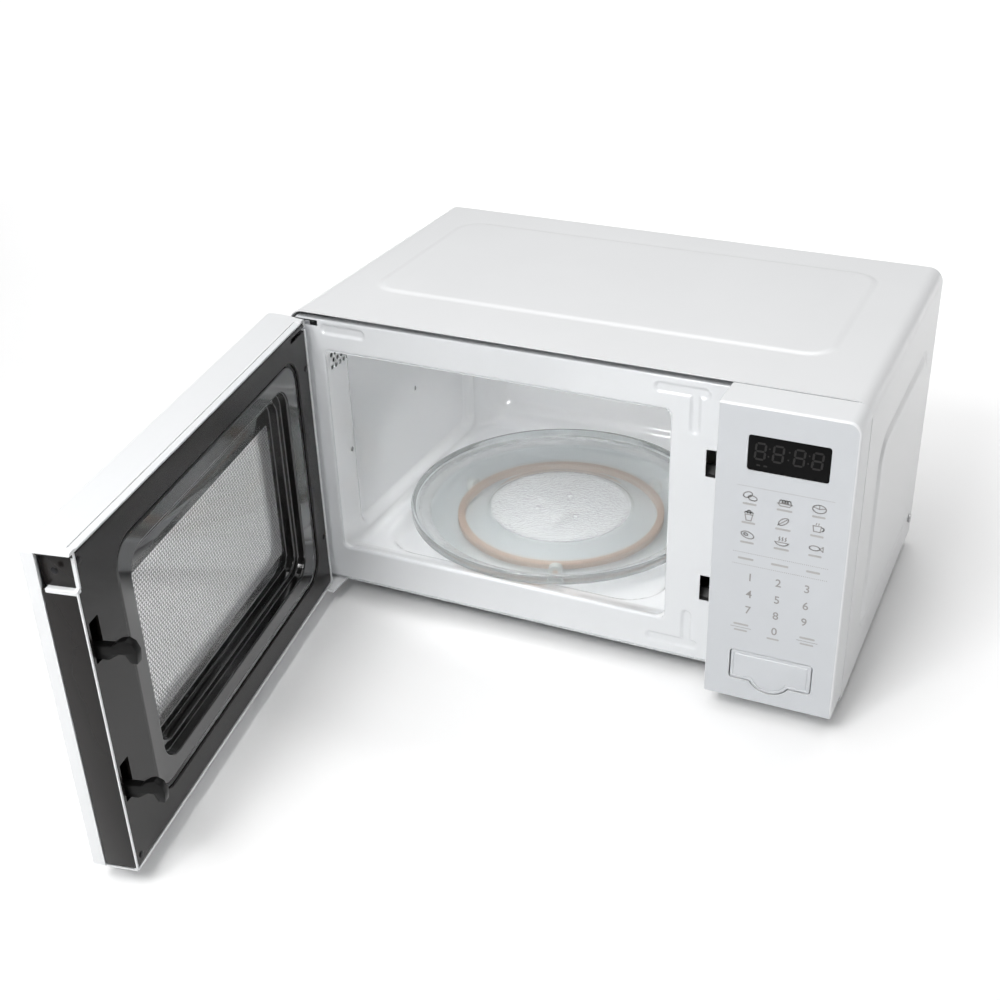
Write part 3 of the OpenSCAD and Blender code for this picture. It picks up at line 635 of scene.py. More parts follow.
# ------------------------------------------------------------------ front plate with sunk marks
PY = -131.0
OX0, OX1, OZ0, OZ1, OR = -191.65, 82.65, 48.1, 221.0, 4.0
GROOVES = [(70.9, 233.6, 110.2, 240.6, 3.4), (97, 206, 103.6, 238, 3.2), (69.2, 26.6, 109.4, 33.6, 3.4), (97, 29, 103.6, 59, 3.2), (-193.5, 234.8, -157, 241.8, 3.4)]
SLOTS = [(109.5, 174.4, 119.1, 195.9, 0.8), (109.5, 71.7, 119.1, 93.2, 0.8)]
WINS = [(132, 70, 210, 238, 2), (140, 44, 158, 62, 1)]


def plate_off(x, z):
    """How far behind the front plane the sheet lies."""
    h = 0.0
    d = min(sdf_rr(x, z, b) for b in GROOVES)
    h += 1.5 * sstep((1.2 - d) / 2.6)
    # rolled edge round the opening
    d = sdf_rr(x, z, (OX0, OZ0, OX1, OZ1, OR))
    if 0 <= d < 2.0:
        h += 2.0 - math.sqrt(max(0.0, 4.0 - (2.0 - d) ** 2))
    # rolled outer edge
    d = -sdf_rr(x, z, (-216, 18.3, 216, 246.3, 3))
    if 0 <= d < 1.6:
        h += 1.6 - math.sqrt(max(0.0, 2.56 - (1.6 - d) ** 2))
    return h


loops = []
for d in (0.25, 0.6, 1.1, 1.6, 2.0, 3.0):
    loops.append(rr_pts(OX0 - d, OZ0 - d, OX1 + d, OZ1 + d, OR + d, 8, 20))
for d in (0.2, 0.5, 0.9, 1.3, 1.6, 2.6):
    loops.append(rr_pts(-216 + d, 18.3 + d, 216 - d, 246.3 - d, max(0.4, 3 - d), 4, 20))
pts = []
for (a, b, c, d_) in ((64, 20.8, 116, 66, ), (64, 199, 117, 243.4), (-200, 228.5, -150, 243.4)):
    nx, nz = int((c - a) / 0.8), int((d_ - b) / 0.8)
    for i in range(nx + 1):
        for j in range(nz + 1):
            x, z = a + (c - a) * i / nx, b + (d_ - b) * j / nz
            if min(sdf_rr(x, z, g) for g in GROOVES) < 3.2 and sdf_rr(x, z, (OX0, OZ0, OX1, OZ1, OR)) > 3.2:
                pts.append((x, z))
hole_loops = [rr_pts(OX0, OZ0, OX1, OZ1, OR, 8, 20)] + [rr_pts(*b, 3) for b in SLOTS + WINS]


def plate_keep(x, z):
    if sdf_rr(x, z, (-216, 18.3, 216, 246.3, 3)) > 0:
        return False
    if sdf_rr(x, z, (OX0, OZ0, OX1, OZ1, OR)) < 0:
        return False
    for b in SLOTS + WINS:
        if sdf_rr(x, z, b) < 0:
            return False
    if x < -196 and 240 < z < 244.6:
        return False
    return True


hinge_win = [(-216, 240), (-196, 240), (-196, 244.6), (-216, 244.6)]
V2, F2 = sheet2d(rr_pts(-216, 18.3, 216, 246.3, 3, 4, 20), hole_loops + [hinge_win], loops, pts, plate_keep)
V2, F2 = used(V2, F2)
offs = [plate_off(x, z) for x, z in V2]
v, f = double([(p[0], PY + o_, p[1]) for p, o_ in zip(V2, offs)], [(p[0], PY + o_ + T, p[1]) for p, o_ in zip(V2, offs)], F2)
pl = mk("front_plate_skin", v, f, M["plate_paint"], None, smooth=50, merge=False)
place(pl, "oven", ("front_plate",))
# return flanges
def strip(name, a, b, mat, body="oven", slot="white_paint", door=False):
    v, f = box_vf(*a, *b)
    return mk(name, v, f, mat, body, slot=slot, door=door)


# the plate's top return takes the painted-shade grey: painted shade under the wrapper's overhang
strip("plate_return_top", (-214, PY + 1.4, 245.4), (214, -125, 246.2), M["gap_paint"])
strip("plate_return_bottom", (-214, PY + 1.4, 18.4), (214, -124, 19.2), M["plate_paint"])
strip("plate_drop_bottom", (-214, -124.8, 12.8), (214, -124, 18.4), M["plate_paint"])
for sx in (-1, 1):
    xa, xb = sorted((sx * 215.1, sx * 215.9))
    if sx > 0:
        strip("plate_return_r", (xa, PY + 1.4, 20), (xb, -112, 245), M["plate_paint"])
    else:
        strip("plate_return_l", (xa, PY + 1.4, 20), (xb, -112, 239.8), M["plate_paint"])
# upstand behind the gap, following the wrapper's corners
up = []
RI = 10.9
for i in range(9):
    a = math.radians(90 * i / 8)
    up.append((208 + RI * math.sin(a) * 0.73, 239 + RI * math.cos(a)))
up = [p for p in up if p[1] > 246.2]
prof = [(-p[0], p[1]) for p in reversed(up)] + [p for p in up]
prof = [(-216, 246.2)] + prof + [(216, 246.2)]
prof = [p for p in prof if not (p[0] < -182)]
prof = [(-182, 246.2), (-182, 249.9)] + [p for p in prof if p[0] > -181]
v, f = loft([[(p[0], -125.8, p[1]) for p in prof], [(p[0], -125.0, p[1]) for p in prof]], caps=True)
# the upstand takes the painted-shade grey too: painted shade in the gap behind the wrapper's edge
mk("plate_upstand", v, f, M["gap_paint"], "oven", slot="white_paint")

# ------------------------------------------------------------------ cavity liner
CX0, CX1, CB = OX0, OX1, 137.0
FL, WELL, CEIL = 38.6, 30.6, 226.0
TX, TY = -55.5, 0.5


def liner_front(y):
    """Floor and ceiling height at y."""
    if y < -106:
        t = (y + 130.2) / 24.2
        lo = 47.4 - (47.4 - FL) * (sstep(t) * 0.6 + t * 0.4)
    else:
        lo = FL
    t = min(1, max(0, (y + 130.2) / 11.0))
    hi = 221.0 + 5.0 * sstep(t)
    return lo, hi


NC, NS = 6, (60, 104)
loops3 = [ring_loop(CX0 - 10, 34, CX1 + 8, 230, 8, -130.2, NC, NS), ring_loop(CX0 - 2.2, OZ0 - 2.2, CX1 + 2.2, OZ1 + 2.2, 10.2, -130.2, NC, NS)]
for d in (1.6, 1.1, 0.6, 0.25, 0.0):
    loops3.append(ring_loop(CX0 - d, OZ0 - d, CX1 + d, OZ1 + d, 8 + d, -130.2 + 2.0 - math.sqrt(max(0.0, 4.0 - (2.0 - d) ** 2)), NC, NS))
ystations = [-127.6, -127, -124, -120, -116, -112, -108, -106]
y = -103.0
while y < 112:
    ystations.append(y)
    y += 3.4
ystations += [113, 115]
RV = 22.0
for q in range(1, 15):
    a = math.radians(90 * q / 14)
    ystations.append((CB - RV) + RV * math.sin(a))
for y in ystations:
    lo, hi = liner_front(y)
    ix = iz = 0.0
    if y > CB - RV:
        ix = RV - math.sqrt(max(0.0, RV * RV - (y - CB + RV) ** 2))
    if y > CB - 9:
        iz = 9 - math.sqrt(max(0.0, 81 - (y - CB + 9) ** 2))
    rc = 4.0 if y < -124 else min(6.0, 4.0 + (y + 124) * 0.2)
    loops3.append([(p[0], y, p[1]) for p in rr_pts(CX0 + ix, lo + iz, CX1 - ix, hi - iz, rc, NC, NS)])
# back wall, by shrinking loops
w0 = (CX0 + RV, FL + 9, CX1 - RV, CEIL - 9)
cx, cz = (w0[0] + w0[2]) / 2, (w0[1] + w0[3]) / 2
steps = [2, 4, 6, 8, 10, 12, 15, 18, 22, 28, 36, 46, 58, 70, 78]
for d in steps:
    hx, hz = (w0[2] - w0[0]) / 2, (w0[3] - w0[1]) / 2
    k = d / hz
    fx = max(hx - d * (1 + 0.35 * k), 1.0)
    fz = max(hz - d, 0.6)
    loops3.append([(p[0], CB, p[1]) for p in rr_pts(cx - fx, cz - fz, cx + fx, cz + fz, max(0.3, 6 - d * 0.07), NC, NS)])
BACKR = (CX0 + 1, 52, CX1 - 1, 206, 16)
WELLB = (TX - 123, TY - 105, TX + 123, TY + 107, 35)


def liner_push(p):
    x, y, z = p
    # pressed-out side panels
    for sx, wall in ((-1, CX0), (1, CX1)):
        if abs(x - wall) < 0.6 and y < CB - 8:
            d = sdf_rr(y, z, (-100, 48, 110, 214, 14))
            x += sx * 6.0 * sstep((1.0 - d) / 7.0)
    # pressed-back panel of the back wall
    if y > CB - 12:
        d = sdf_rr(x, z, (CX0 + 14, 56, CX1 - 14, 204, 18))
        y += 5.5 * sstep((2.0 - d) / 8.0)
    # well under the tray
    if abs(z - FL) < 0.3 and y > -106.5:
        d = sdf_rr(x, y, WELLB)
        z -= (FL - WELL) * sstep((1.0 - d) / 9.0)
        d2 = math.hypot(x - TX, y - TY)
    return (x, y, z)


verts = [tuple(map(float, liner_push(p))) for L in loops3 for p in L]
n = len(loops3[0])
faces = []
for i in range(len(loops3) - 1):
    for j in range(n):
        k = (j + 1) % n
        faces.append((i * n + j, i * n + k, (i + 1) * n + k, (i + 1) * n + j))
faces.append(tuple(range((len(loops3) - 1) * n, len(loops3) * n)))

lin = mk("cavity_liner", verts, faces, M["liner_paint"], None, smooth=None, merge=True)
s = 0.0
for p in lin.data.polygons:
    c = p.center
    s += p.area * p.normal.dot(Vector((TX / 1000, 0, 0.13)) - c)
if s < 0:
    lin.data.flip_normals()
thicken(lin, 0.8, 45)
cuts = []
cv, cf = [], []


def add_cyl_x(x0, x1, y, z, r, n=14):
    b = len(cv)
    for x in (x0, x1):
        for p in circle_pts(y, z, r, n):
            cv.append((x, p[0], p[1]))
    for i in range(n):
        k = (i + 1) % n
        cf.append((b + i, b + k, b + n + k, b + n + i))
    cf.append(tuple(range(b, b + n)))
    cf.append(tuple(range(b + n, b + 2 * n)))


for r_ in range(4):
    for c_ in range(5):
        add_cyl_x(CX0 - 9, CX0 + 4, -122.5 + 5.6 * c_ + 2.8 * (r_ % 2), 204.0 + 4.9 * r_, 2.0)
add_cyl_x(CX0 - 9, CX0 + 4, 13, 126.3, 2.0, 18)
add_cyl_x(CX0 - 9, CX0 + 4, -106, 125.6, 2.0, 18)
for r_ in range(7):
    for c_ in range(9):
        add_cyl_x(CX1 - 2, CX1 + 9, -84 + 6 * c_ + 3 * (r_ % 2), 168 + 5.2 * r_, 1.7)
cuts.append(cutter("c1", cv, cf))
v, f = loft([[(CX1 + 2, p[0], p[1]) for p in rr_pts(-20, 118, 60, 172, 3, 4)], [(CX1 + 12, p[0], p[1]) for p in rr_pts(-20, 118, 60, 172, 3, 4)]], caps=True)
cuts.append(cutter("c2", v, f))
v, f = loft([[(p[0], p[1], 20) for p in circle_pts(TX, TY, 5, 24)], [(p[0], p[1], 36) for p in circle_pts(TX, TY, 5, 24)]], caps=True)
cuts.append(cutter("c3", v, f))
cut(lin, cuts, 45)
place(lin, "oven", ("cavity",))
v, f = loft([[(-213, p[0], p[1]) for p in rr_pts(-128.5, 192, -84, 226, 3, 5)], [(-212.6, p[0], p[1]) for p in rr_pts(-128.8, 191.7, -83.7, 226.3, 3, 5)], [(-211, p[0], p[1]) for p in rr_pts(-128.8, 191.7, -83.7, 226.3, 3, 5)]], caps=True)
mk("vent_duct", v, f, M["black_plastic"], "oven", slot="black_plastic")


# ------------------------------------------------------------------ door
def off(b, d):
    return (b[0] - d, b[1] - d, b[2] + d, b[3] + d, max(0.3, b[4] + d))


def arc_out(b, f, F, n=5, sgn=-1):
    """Convex fillet from a wall at outline b onto a face at y=F; sgn -1 where b bounds the face from outside."""
    out = []
    for i in range(n + 1):
        a = math.radians(90 * i / n)
        out.append((off(b, sgn * f * (1 - math.cos(a))), F - f * (1 - math.sin(a))))
    return out


def arc_in(b, g, G, n=4):
    out = []
    for i in range(n + 1):
        a = math.radians(90 * i / n)
        out.append((off(b, -g * (1 - math.cos(a))), G + g * (1 - math.sin(a))))
    return out


def ringloops(seq, nc=10, ns=(3, 4)):
    return [ring_loop(b[0], b[1], b[2], b[3], b[4], y, nc, ns) for b, y in seq]


A_ = (-190.3, 41, 81, 226.6, 17.5)
B_ = (-172, 55, 66, 213, 16)
C_ = (-166, 62, 58, 205, 12)
W_ = (-160, 76.6, 51, 186.8, 3)
seq = [((-198, 32, 104, 235, 6), -149.2), (off(A_, 1.0), -149.2), (off(A_, 0.2), -149.0), (A_, -148.2)]
o1 = arc_out(A_, 1.8, -134.0)
seq += o1 + [(off(A_, -2.1), -134.0)]
i1 = list(reversed(arc_out(B_, 1.5, -134.0, sgn=1)))
seq += [(off(B_, 1.8), -134.0)] + i1
B2 = off(B_, -0.8)
seq += arc_in(B2, 1.0, -140.2) + [(off(B2, -1.3), -140.2)]
seq += [(off(C_, 1.5), -140.2)] + list(reversed(arc_out(C_, 1.2, -140.2, sgn=1)))
C2 = off(C_, -0.8)
seq += arc_in(C2, 1.0, -146.8) + [(off(C2, -1.3), -146.8)]
seq += [(off(W_, 0.6), -146.8), (off(W_, 0.15), -146.95), (W_, -147.3)]
v, f = loft(ringloops(seq))
dp = mk("door_ring", v, f, M["black_enamel"], None, smooth=None)
if sum(p.normal.y * p.area for p in dp.data.polygons) < 0:
    dp.data.flip_normals()
thicken(dp, 0.8, 40)
# faces at the ring's outer edge take the matte black: painted shade in the gap between ring and cover
dp.data.materials.append(M["gap_black"])
for p in dp.data.polygons:
    if sdf_rr(p.center.x * 1000, p.center.z * 1000, A_) > -0.45:
        p.material_index = 1
dp.data.transform(SW)
place(dp, "door", ("door_plate",))

# dark cover round the ring, and down the free end
O_ = (-211.4, 19.6, 122.4, 247.0, 3.0)
P_ = (-192.4, 38.9, 83.1, 228.7, 19.6)
yo, yi = -132.5, -134.5
seq = [(off(O_, -0.2), yi), (O_, yi + 0.2)]
seq += [(off(O_, -0.8 * (1 - math.cos(math.radians(a)))), yo - 0.8 * (1 - math.sin(math.radians(a)))) for a in (0, 30, 60, 90)] + [(off(O_, -1.0), yo)]
seq += [(off(P_, 1.0), yo)] + [(off(P_, 0.8 * (1 - math.cos(math.radians(a)))), yo - 0.8 * (1 - math.sin(math.radians(a)))) for a in (90, 60, 30, 0)] + [(off(P_, 0.0), yi)]
v, f = loft(ringloops(seq, 12), closed=True)
cc = mk("door_cover", v, f, M["dark_plastic"], None, door=False, smooth=35)
hooks = [rr_pts(109.5, 173, 119.5, 201, 1.0, 4), rr_pts(109.5, 70.3, 119.5, 98.3, 1.0, 4)]
cs = []
for h in hooks:
    v, f = prism_y(h, -140, -128)
    cs.append(cutter("hk", v, f))
v, f = box_vf(-230, -140, 240.2, -186, -128, 243.6)
cs.append(cutter("nt", v, f))
# pocket at the top of the free end
v, f = box_vf(119.2, -140, 225.0, 130, -120, 250)
cs.append(cutter("pk", v, f))
cut(cc, cs, 35)
cc.data.transform(SW)
place(cc, "door", ("choke_cover",))


def softbox(name, a, b, mat, body, slot, door=False, w=0.4, seg=2, rep=()):
    v, f = box_vf(*a, *b)
    o = mk(name, v, f, mat, None, smooth=None)
    m = o.modifiers.new("bev", "BEVEL")
    m.width = w / 1000
    m.segments = seg
    m.limit_method = "ANGLE"
    applied(o, 35)
    if door:
        o.data.transform(SW)
    place(o, body, rep, slot)
    return o


softbox("door_end_lower", (122.0, -153.8, 19.8), (124.2, -132.6, 224.8), M["dark_plastic"], "door", "dark_plastic", True, 0.7, 3)
softbox("door_end_pocket", (119.2, -153.8, 224.9), (120.6, -132.6, 247.0), M["dark_plastic"], "door", "dark_plastic", True, 0.3, 2)
softbox("door_end_ledge", (119.2, -152.0, 222.0), (124.35, -132.4, 225.1), M["white_plastic"], "door", "white_plastic", True, 0.8, 3)
softbox("door_end_cap", (119.2, -153.6, 246.4), (123.9, -133.2, 247.4), M["dark_plastic"], "door", "dark_plastic", True, 0.3, 2)


# white rib between the end wall and the cover, cranked at the ledge: partly the white frame's edge, partly a painted
# highlight on the cover's rounded corner
def rib(name, path, w, y0, y1):
    V, F = [], []
    for i in range(len(path) - 1):
        (xa, za), (xb, zb) = path[i], path[i + 1]
        L_ = math.hypot(xb - xa, zb - za)
        ux, uz = (xb - xa) / L_, (zb - za) / L_
        nx, nz = -uz * w / 2, ux * w / 2
        e = w / 2 * 0.9
        P = [(xa - ux * e + nx, za - uz * e + nz), (xb + ux * e + nx, zb + uz * e + nz), (xb + ux * e - nx, zb + uz * e - nz), (xa - ux * e - nx, za - uz * e - nz)]
        b = len(V)
        V += [(p[0], y0, p[1]) for p in P] + [(p[0], y1, p[1]) for p in P]
        F += [(b + k, b + (k + 1) % 4, b + 4 + (k + 1) % 4, b + 4 + k) for k in range(4)]
        F += [(b, b + 1, b + 2, b + 3), (b + 4, b + 5, b + 6, b + 7)]
    o = mk(name, V, F, M["white_plastic"], None, smooth=30, merge=False)
    o.data.transform(SW)
    place(o, "door", (), "white_plastic")


rib("door_end_highlight_rib", [(123.4, 20.0), (123.4, 224.4), (120.4, 225.6), (119.9, 246.8)], 1.3, -134.2, -132.0)


# white moulding
def plan(d, back=-132.3):
    """The door's outline seen from above, inset by d: list of (x, y)."""
    r = max(0.5, 3.6 - d)
    out = [(-213.6 + d, back)]
    xl = -219.9 + d
    for i in range(5):
        t = i / 4
        y = -135 - 22 * t
        out.append((-213.6 - 6.3 * (1 - (1 - t) ** 1.6) + d, y))
    for i in range(7):
        a = math.radians(180 + 90 * i / 6)
        out.append((xl + r + r * math.cos(a), -164 + d + r + r * math.sin(a)))
    for i in range(1, 6):
        t = i / 6
        out.append((xl + r + (124.5 - d - r - xl - r) * t, -164 + d))
    for i in range(7):
        a = math.radians(270 + 90 * i / 6)
        out.append((124.5 - d - r + r * math.cos(a), -164 + d + r + r * math.sin(a)))
    out.append((124.5 - d, -140))
    out.append((124.5 - d, back))
    return out


def shell_loops(z0, z1, f, ex=0.0, n=5):
    L = []
    for i in range(n + 1):
        a = math.radians(90 * i / n)
        L.append((f * (1 - math.sin(a)), z0 + f * (1 - math.cos(a))))
    L += [(0, z0 + f + 0.4), (0, z1 - f - 0.4)]
    for i in range(n + 1):
        a = math.radians(90 * i / n)
        L.append((f * (1 - math.cos(a)), z1 - f * (1 - math.sin(a))))
    return [[(p[0], p[1], z) for p in plan(d + ex)] for d, z in L]


v, f = loft(shell_loops(17.0, 249.6, 2.4), caps=True)
df = mk("door_shell", v, f, M["white_plastic"], None, smooth=40)
cs = []
inner = [(p[0], p[1]) for p in plan(2.0, -120.0)]
inner = [(max(-217.5, p[0]), max(p[1], -161.4)) for p in inner]
v, f = loft([[(p[0], p[1], 19.0) for p in inner], [(p[0], p[1], 247.6) for p in inner]], caps=True)
cs.append(cutter("in", v, f))
v, f = prism_y(rr_pts(-172, 66, 63, 200, 10, 8), -170, -150)
cs.append(cutter("win", v, f))
v, f = box_vf(121, -154, 19.0, 130, -120, 247.6)
cs.append(cutter("end", v, f))
v, f = box_vf(-225, -152, 240.6, -204, -120, 243.4)
cs.append(cutter("slot", v, f))
v, f = box_vf(-206, -137.2, 248.9, 118, -120, 256)
cs.append(cutter("lip", v, f))
cut(df, cs, 40)
df.data.transform(SW)
place(df, "door", ("door_frame",))

# clear outer window with softened edge
G_ = (-180, 58, 71, 208, 8)
seq = [(off(G_, -1), -158.3), (G_, -158.6), (G_, -161.0), (off(G_, -0.4), -161.3)]
v, f = loft(ringloops(seq), caps=True)
mk("door_pane", v, f, M["window_clear"], "door", door=True, rep=("door_window",), smooth=30)
H_ = (-163.5, 70, 55.5, 192, 3)
v, f = loft(ringloops([(off(H_, -0.05), -146.5), (H_, -146.55), (H_, -146.75), (off(H_, -0.05), -146.8)]), caps=True)
mk("inner_pane", v, f, M["film"], "door", door=True, rep=("inner_film",), smooth=30)

# perforated screen
PIT = 2.9
NXs, NZs = 75, 0
sv, sf = [], []
pz = PIT * 0.866
x0s, z0s = -162.2, 75.6
nzs = int(round((189.2 - z0s) / pz))
nxs = int(round((54 - x0s) / PIT))
for j in range(nzs):
    for i in range(nxs):
        ox = x0s + i * PIT + (PIT / 2 if j % 2 else 0)
        oz = z0s + j * pz
        cx_, cz_ = ox + PIT / 2, oz + pz / 2
        b = len(sv)
        for k in range(8):
            a = math.pi / 4 * k
            ca, sa = math.cos(a), math.sin(a)
            m_ = max(abs(ca), abs(sa))
            sv.append((cx_ + ca / m_ * PIT / 2, -147.85, cz_ + sa / m_ * pz / 2))
        for k in range(8):
            a = math.pi / 4 * k
            sv.append((cx_ + 1.16 * math.cos(a), -147.85, cz_ + 1.12 * math.sin(a)))
        for k in range(8):
            n_ = (k + 1) % 8
            sf.append((b + k, b + n_, b + 8 + n_, b + 8 + k))
sc = mk("screen_sheet", sv, sf, M["screen"], None, door=True, smooth=None, merge=False)
thicken(sc, 0.3, 40, 0)
place(sc, "door", ("mesh_screen",))

# ------------------------------------------------------------------ control panel
def fascia_outline(d, dl, db):
    x0, x1, z0, z1 = 126 + dl, 220 - d, 17.2 + db, 250.8 - d
    rs = [(x1 - 1.5, z0 + 1.5, 1.5, -90), (x1 - (9 - d), z1 - (9 - d), 9 - d, 0), (x0 + 1.2, z1 - 1.2, 1.2, 90), (x0 + 1.2, z0 + 1.2, 1.2, 180)]
    out = []
    for cx_, cz_, r_, a0 in rs:
        for i in range(9):
            a = math.radians(a0 + 90 * i / 8)
            out.append((cx_ + r_ * math.cos(a), cz_ + r_ * math.sin(a)))
    return out


L = [[(p[0], y, p[1]) for p in fascia_outline(d, d, d)] for d, y in ((1.0, -132.0), (1.0, -133.2), (0.15, -133.3), (0.0, -133.5))]
L.append([(p[0], -160.4, p[1]) for p in fascia_outline(0, 0, 0)])
for i in range(8):
    a = math.radians(90 * i / 7)
    d = 1.9 * (1 - math.cos(a))
    L.append([(p[0], -162.1 - 1.9 * math.sin(a), p[1]) for p in fascia_outline(d, 0.6 * (1 - math.cos(a)), 1.2 * (1 - math.cos(a)))])
L.append([(p[0], -164.0, p[1]) for p in fascia_outline(2.2, 0.9, 1.5)])
v, f = loft(L, caps=True)
fa = mk("fascia", v, f, M["membrane"], None, smooth=35)


def button_outline(d):
    """The door button's outline moved out by d."""
    out = []
    x0, z0, x1, z1, r_ = 144.6 - d, 34.8 - d, 203.2 + d, 59 + d, max(0.35, 2.2 + d)
    R = 16.3 + d
    cxb, czb = 173.3, 43.4
    h = math.sqrt(R * R - (czb - z0) ** 2)
    fr = 2.0
    a0 = math.atan2(z0 - czb, -h)
    a1 = math.atan2(z0 - czb, h)
    n = 28
    for i in range(n + 1):
        a = a0 + (a1 - a0) * i / n
        out.append((cxb + R * math.cos(a), czb + R * math.sin(a)))
    for cx_, cz_, q in ((x1 - r_, z0 + r_, -90), (x1 - r_, z1 - r_, 0), (x0 + r_, z1 - r_, 90), (x0 + r_, z0 + r_, 180)):
        for i in range(7):
            a = math.radians(q + 90 * i / 6)
            out.append((cx_ + r_ * math.cos(a), cz_ + r_ * math.sin(a)))
    return out


cs = []
v, f = prism_y(button_outline(0.7), -170, -150)
cs.append(cutter("bt", v, f))
v, f = prism_y(rr_pts(147.2, 204.4, 202.3, 230.5, 2, 5), -170, -162.9)
cs.append(cutter("dh", v, f))
v, f = box_vf(128, -161.8, 19.2, 218, -120, 240)
cs.append(cutter("in", v, f))
v, f = box_vf(128, -161.8, 239, 210, -120, 248.8)
cs.append(cutter("in2", v, f))
cut(fa, cs, 35)
fa.data.materials.append(M["white_plastic"])
for p in fa.data.polygons:
    if not (p.normal.y < -0.97 and p.center.y < -0.1638):
        p.material_index = 1
place(fa, "oven", ("panel_bezel", "membrane"))

L = []
for d, y in ((0.0, -157.0), (0.0, -162.6), (-0.15, -163.1), (-0.45, -163.45), (-0.9, -163.6), (-1.2, -163.6)):
    L.append([(p[0], y, p[1]) for p in button_outline(d)])
L2 = [[(p[0], -163.6, p[1]) for p in button_outline(-2.2)], [(p[0], -163.25, p[1]) for p in button_outline(-2.5)], [(p[0], -163.25, p[1]) for p in button_outline(-2.9)], [(p[0], -163.65, p[1]) for p in button_outline(-3.3)], [(p[0], -163.75, p[1]) for p in button_outline(-4.0)]]
v, f = loft(L + L2, caps=True)
bt = mk("button_cap", v, f, M["membrane"], "button", rep=("door_button",), slot="membrane", smooth=30)
softbox("button_stem", (146, -157.2, 50.2), (152, -123.2, 55.5), M["white_plastic"], "button", "white_plastic", w=0.3)

# ------------------------------------------------------------------ display, printing on the panel
M["print"] = plastic("m_print", (0.30, 0.29, 0.285), 0.5, 0.05, 900, 0.012)
M["print_soft"] = plastic("m_print_soft", (0.40, 0.395, 0.39), 0.5, 0.05, 900, 0.012)
M["segment"] = plastic("m_segment", (0.016, 0.015, 0.015), 0.35, 0.05, 900, 0.003, 0.0, 0.2)
D_ = (147.3, 204.5, 202.2, 230.4, 1.9)
v, f = loft(ringloops([(D_, -162.9), (D_, -163.55), (off(D_, -0.1), -163.68), (off(D_, -0.3), -163.75)]), caps=True)
mk("display_pane", v, f, M["dark_glass"], "oven", rep=("display_window",), smooth=30)


def prism_list(polys, y0, y1):
    V, F = [], []
    for P in polys:
        b, n = len(V), len(P)
        V += [(p[0], y0, p[1]) for p in P] + [(p[0], y1, p[1]) for p in P]
        F += [(b + i, b + (i + 1) % n, b + n + (i + 1) % n, b + n + i) for i in range(n)]
        F += [tuple(range(b, b + n)), tuple(range(b + n, b + 2 * n))]
    return V, F


def seg7(cx, cz, w, h, t, sl=0.08):
    """Seven bars of one figure eight."""
    out = []
    g = 0.25

    def bar(x0, z0, x1, z1):
        dx, dz = x1 - x0, z1 - z0
        L_ = math.hypot(dx, dz)
        ux, uz = dx / L_, dz / L_
        nx, nz = -uz * t / 2, ux * t / 2
        a, b = g + t / 2, L_ - g - t / 2
        P = [(x0 + ux * g, z0 + uz * g), (x0 + ux * a + nx, z0 + uz * a + nz), (x0 + ux * b + nx, z0 + uz * b + nz), (x0 + ux * (L_ - g), z0 + uz * (L_ - g)), (x0 + ux * b - nx, z0 + uz * b - nz), (x0 + ux * a - nx, z0 + uz * a - nz)]
        out.append([(p[0] + sl * (p[1] - cz), p[1]) for p in P])
    l, r_, b_, t_ = cx - w / 2, cx + w / 2, cz - h / 2, cz + h / 2
    bar(l, t_, r_, t_)
    bar(l, cz, r_, cz)
    bar(l, b_, r_, b_)
    bar(l, b_, l, cz)
    bar(l, cz, l, t_)
    bar(r_, b_, r_, cz)
    bar(r_, cz, r_, t_)
    return out


polys = []
for cx_ in (155.6, 167.6, 181.6, 193.6):
    polys += seg7(cx_, 219.2, 6.4, 11.6, 1.5)
for cx_, cz_ in ((174.9, 222.0), (174.4, 216.4), (161.7, 222.0), (161.2, 216.4), (188.0, 222.0), (187.5, 216.4)):
    polys.append(circle_pts(cx_, cz_, 0.6, 10))
for i, cx_ in enumerate((153.5, 158.2)):
    polys.append(rr_pts(cx_, 208.3, cx_ + 2.6, 209.6, 0.4, 3))
v, f = prism_list(polys, -163.79, -163.7)
mk("display_bars", v, f, M["segment"], "oven", slot="dark_glass", smooth=30)

pr = []
bars = []


def stroke(P, w=0.62, closed=False):
    """A ribbon of width w along P."""
    n = len(P)
    for i in range(n if closed else n - 1):
        a, b = P[i], P[(i + 1) % n]
        dx, dz = b[0] - a[0], b[1] - a[1]
        L_ = math.hypot(dx, dz) or 1e-6
        ux, uz = dx / L_, dz / L_
        e = w * 0.35
        nx, nz = -uz * w / 2, ux * w / 2
        pr.append([(a[0] - ux * e + nx, a[1] - uz * e + nz), (b[0] + ux * e + nx, b[1] + uz * e + nz), (b[0] + ux * e - nx, b[1] + uz * e - nz), (a[0] - ux * e - nx, a[1] - uz * e - nz)])


def ell(cx, cz, a, b, n=16, t0=0, t1=360, rot=0):
    out = []
    c, s_ = math.cos(math.radians(rot)), math.sin(math.radians(rot))
    m_ = n if t1 - t0 < 360 else n - 1
    for i in range(n + (1 if t1 - t0 < 360 else 0)):
        t = math.radians(t0 + (t1 - t0) * i / n)
        x, z = a * math.cos(t), b * math.sin(t)
        out.append((cx + x * c - z * s_, cz + x * s_ + z * c))
    return out


def icon(k, x, z):
    n0 = len(pr)
    icon_at(k, x, z)
    for i in range(n0, len(pr)):
        pr[i] = [(x + (p[0] - x) * 1.2, z + (p[1] - z) * 1.2) for p in pr[i]]


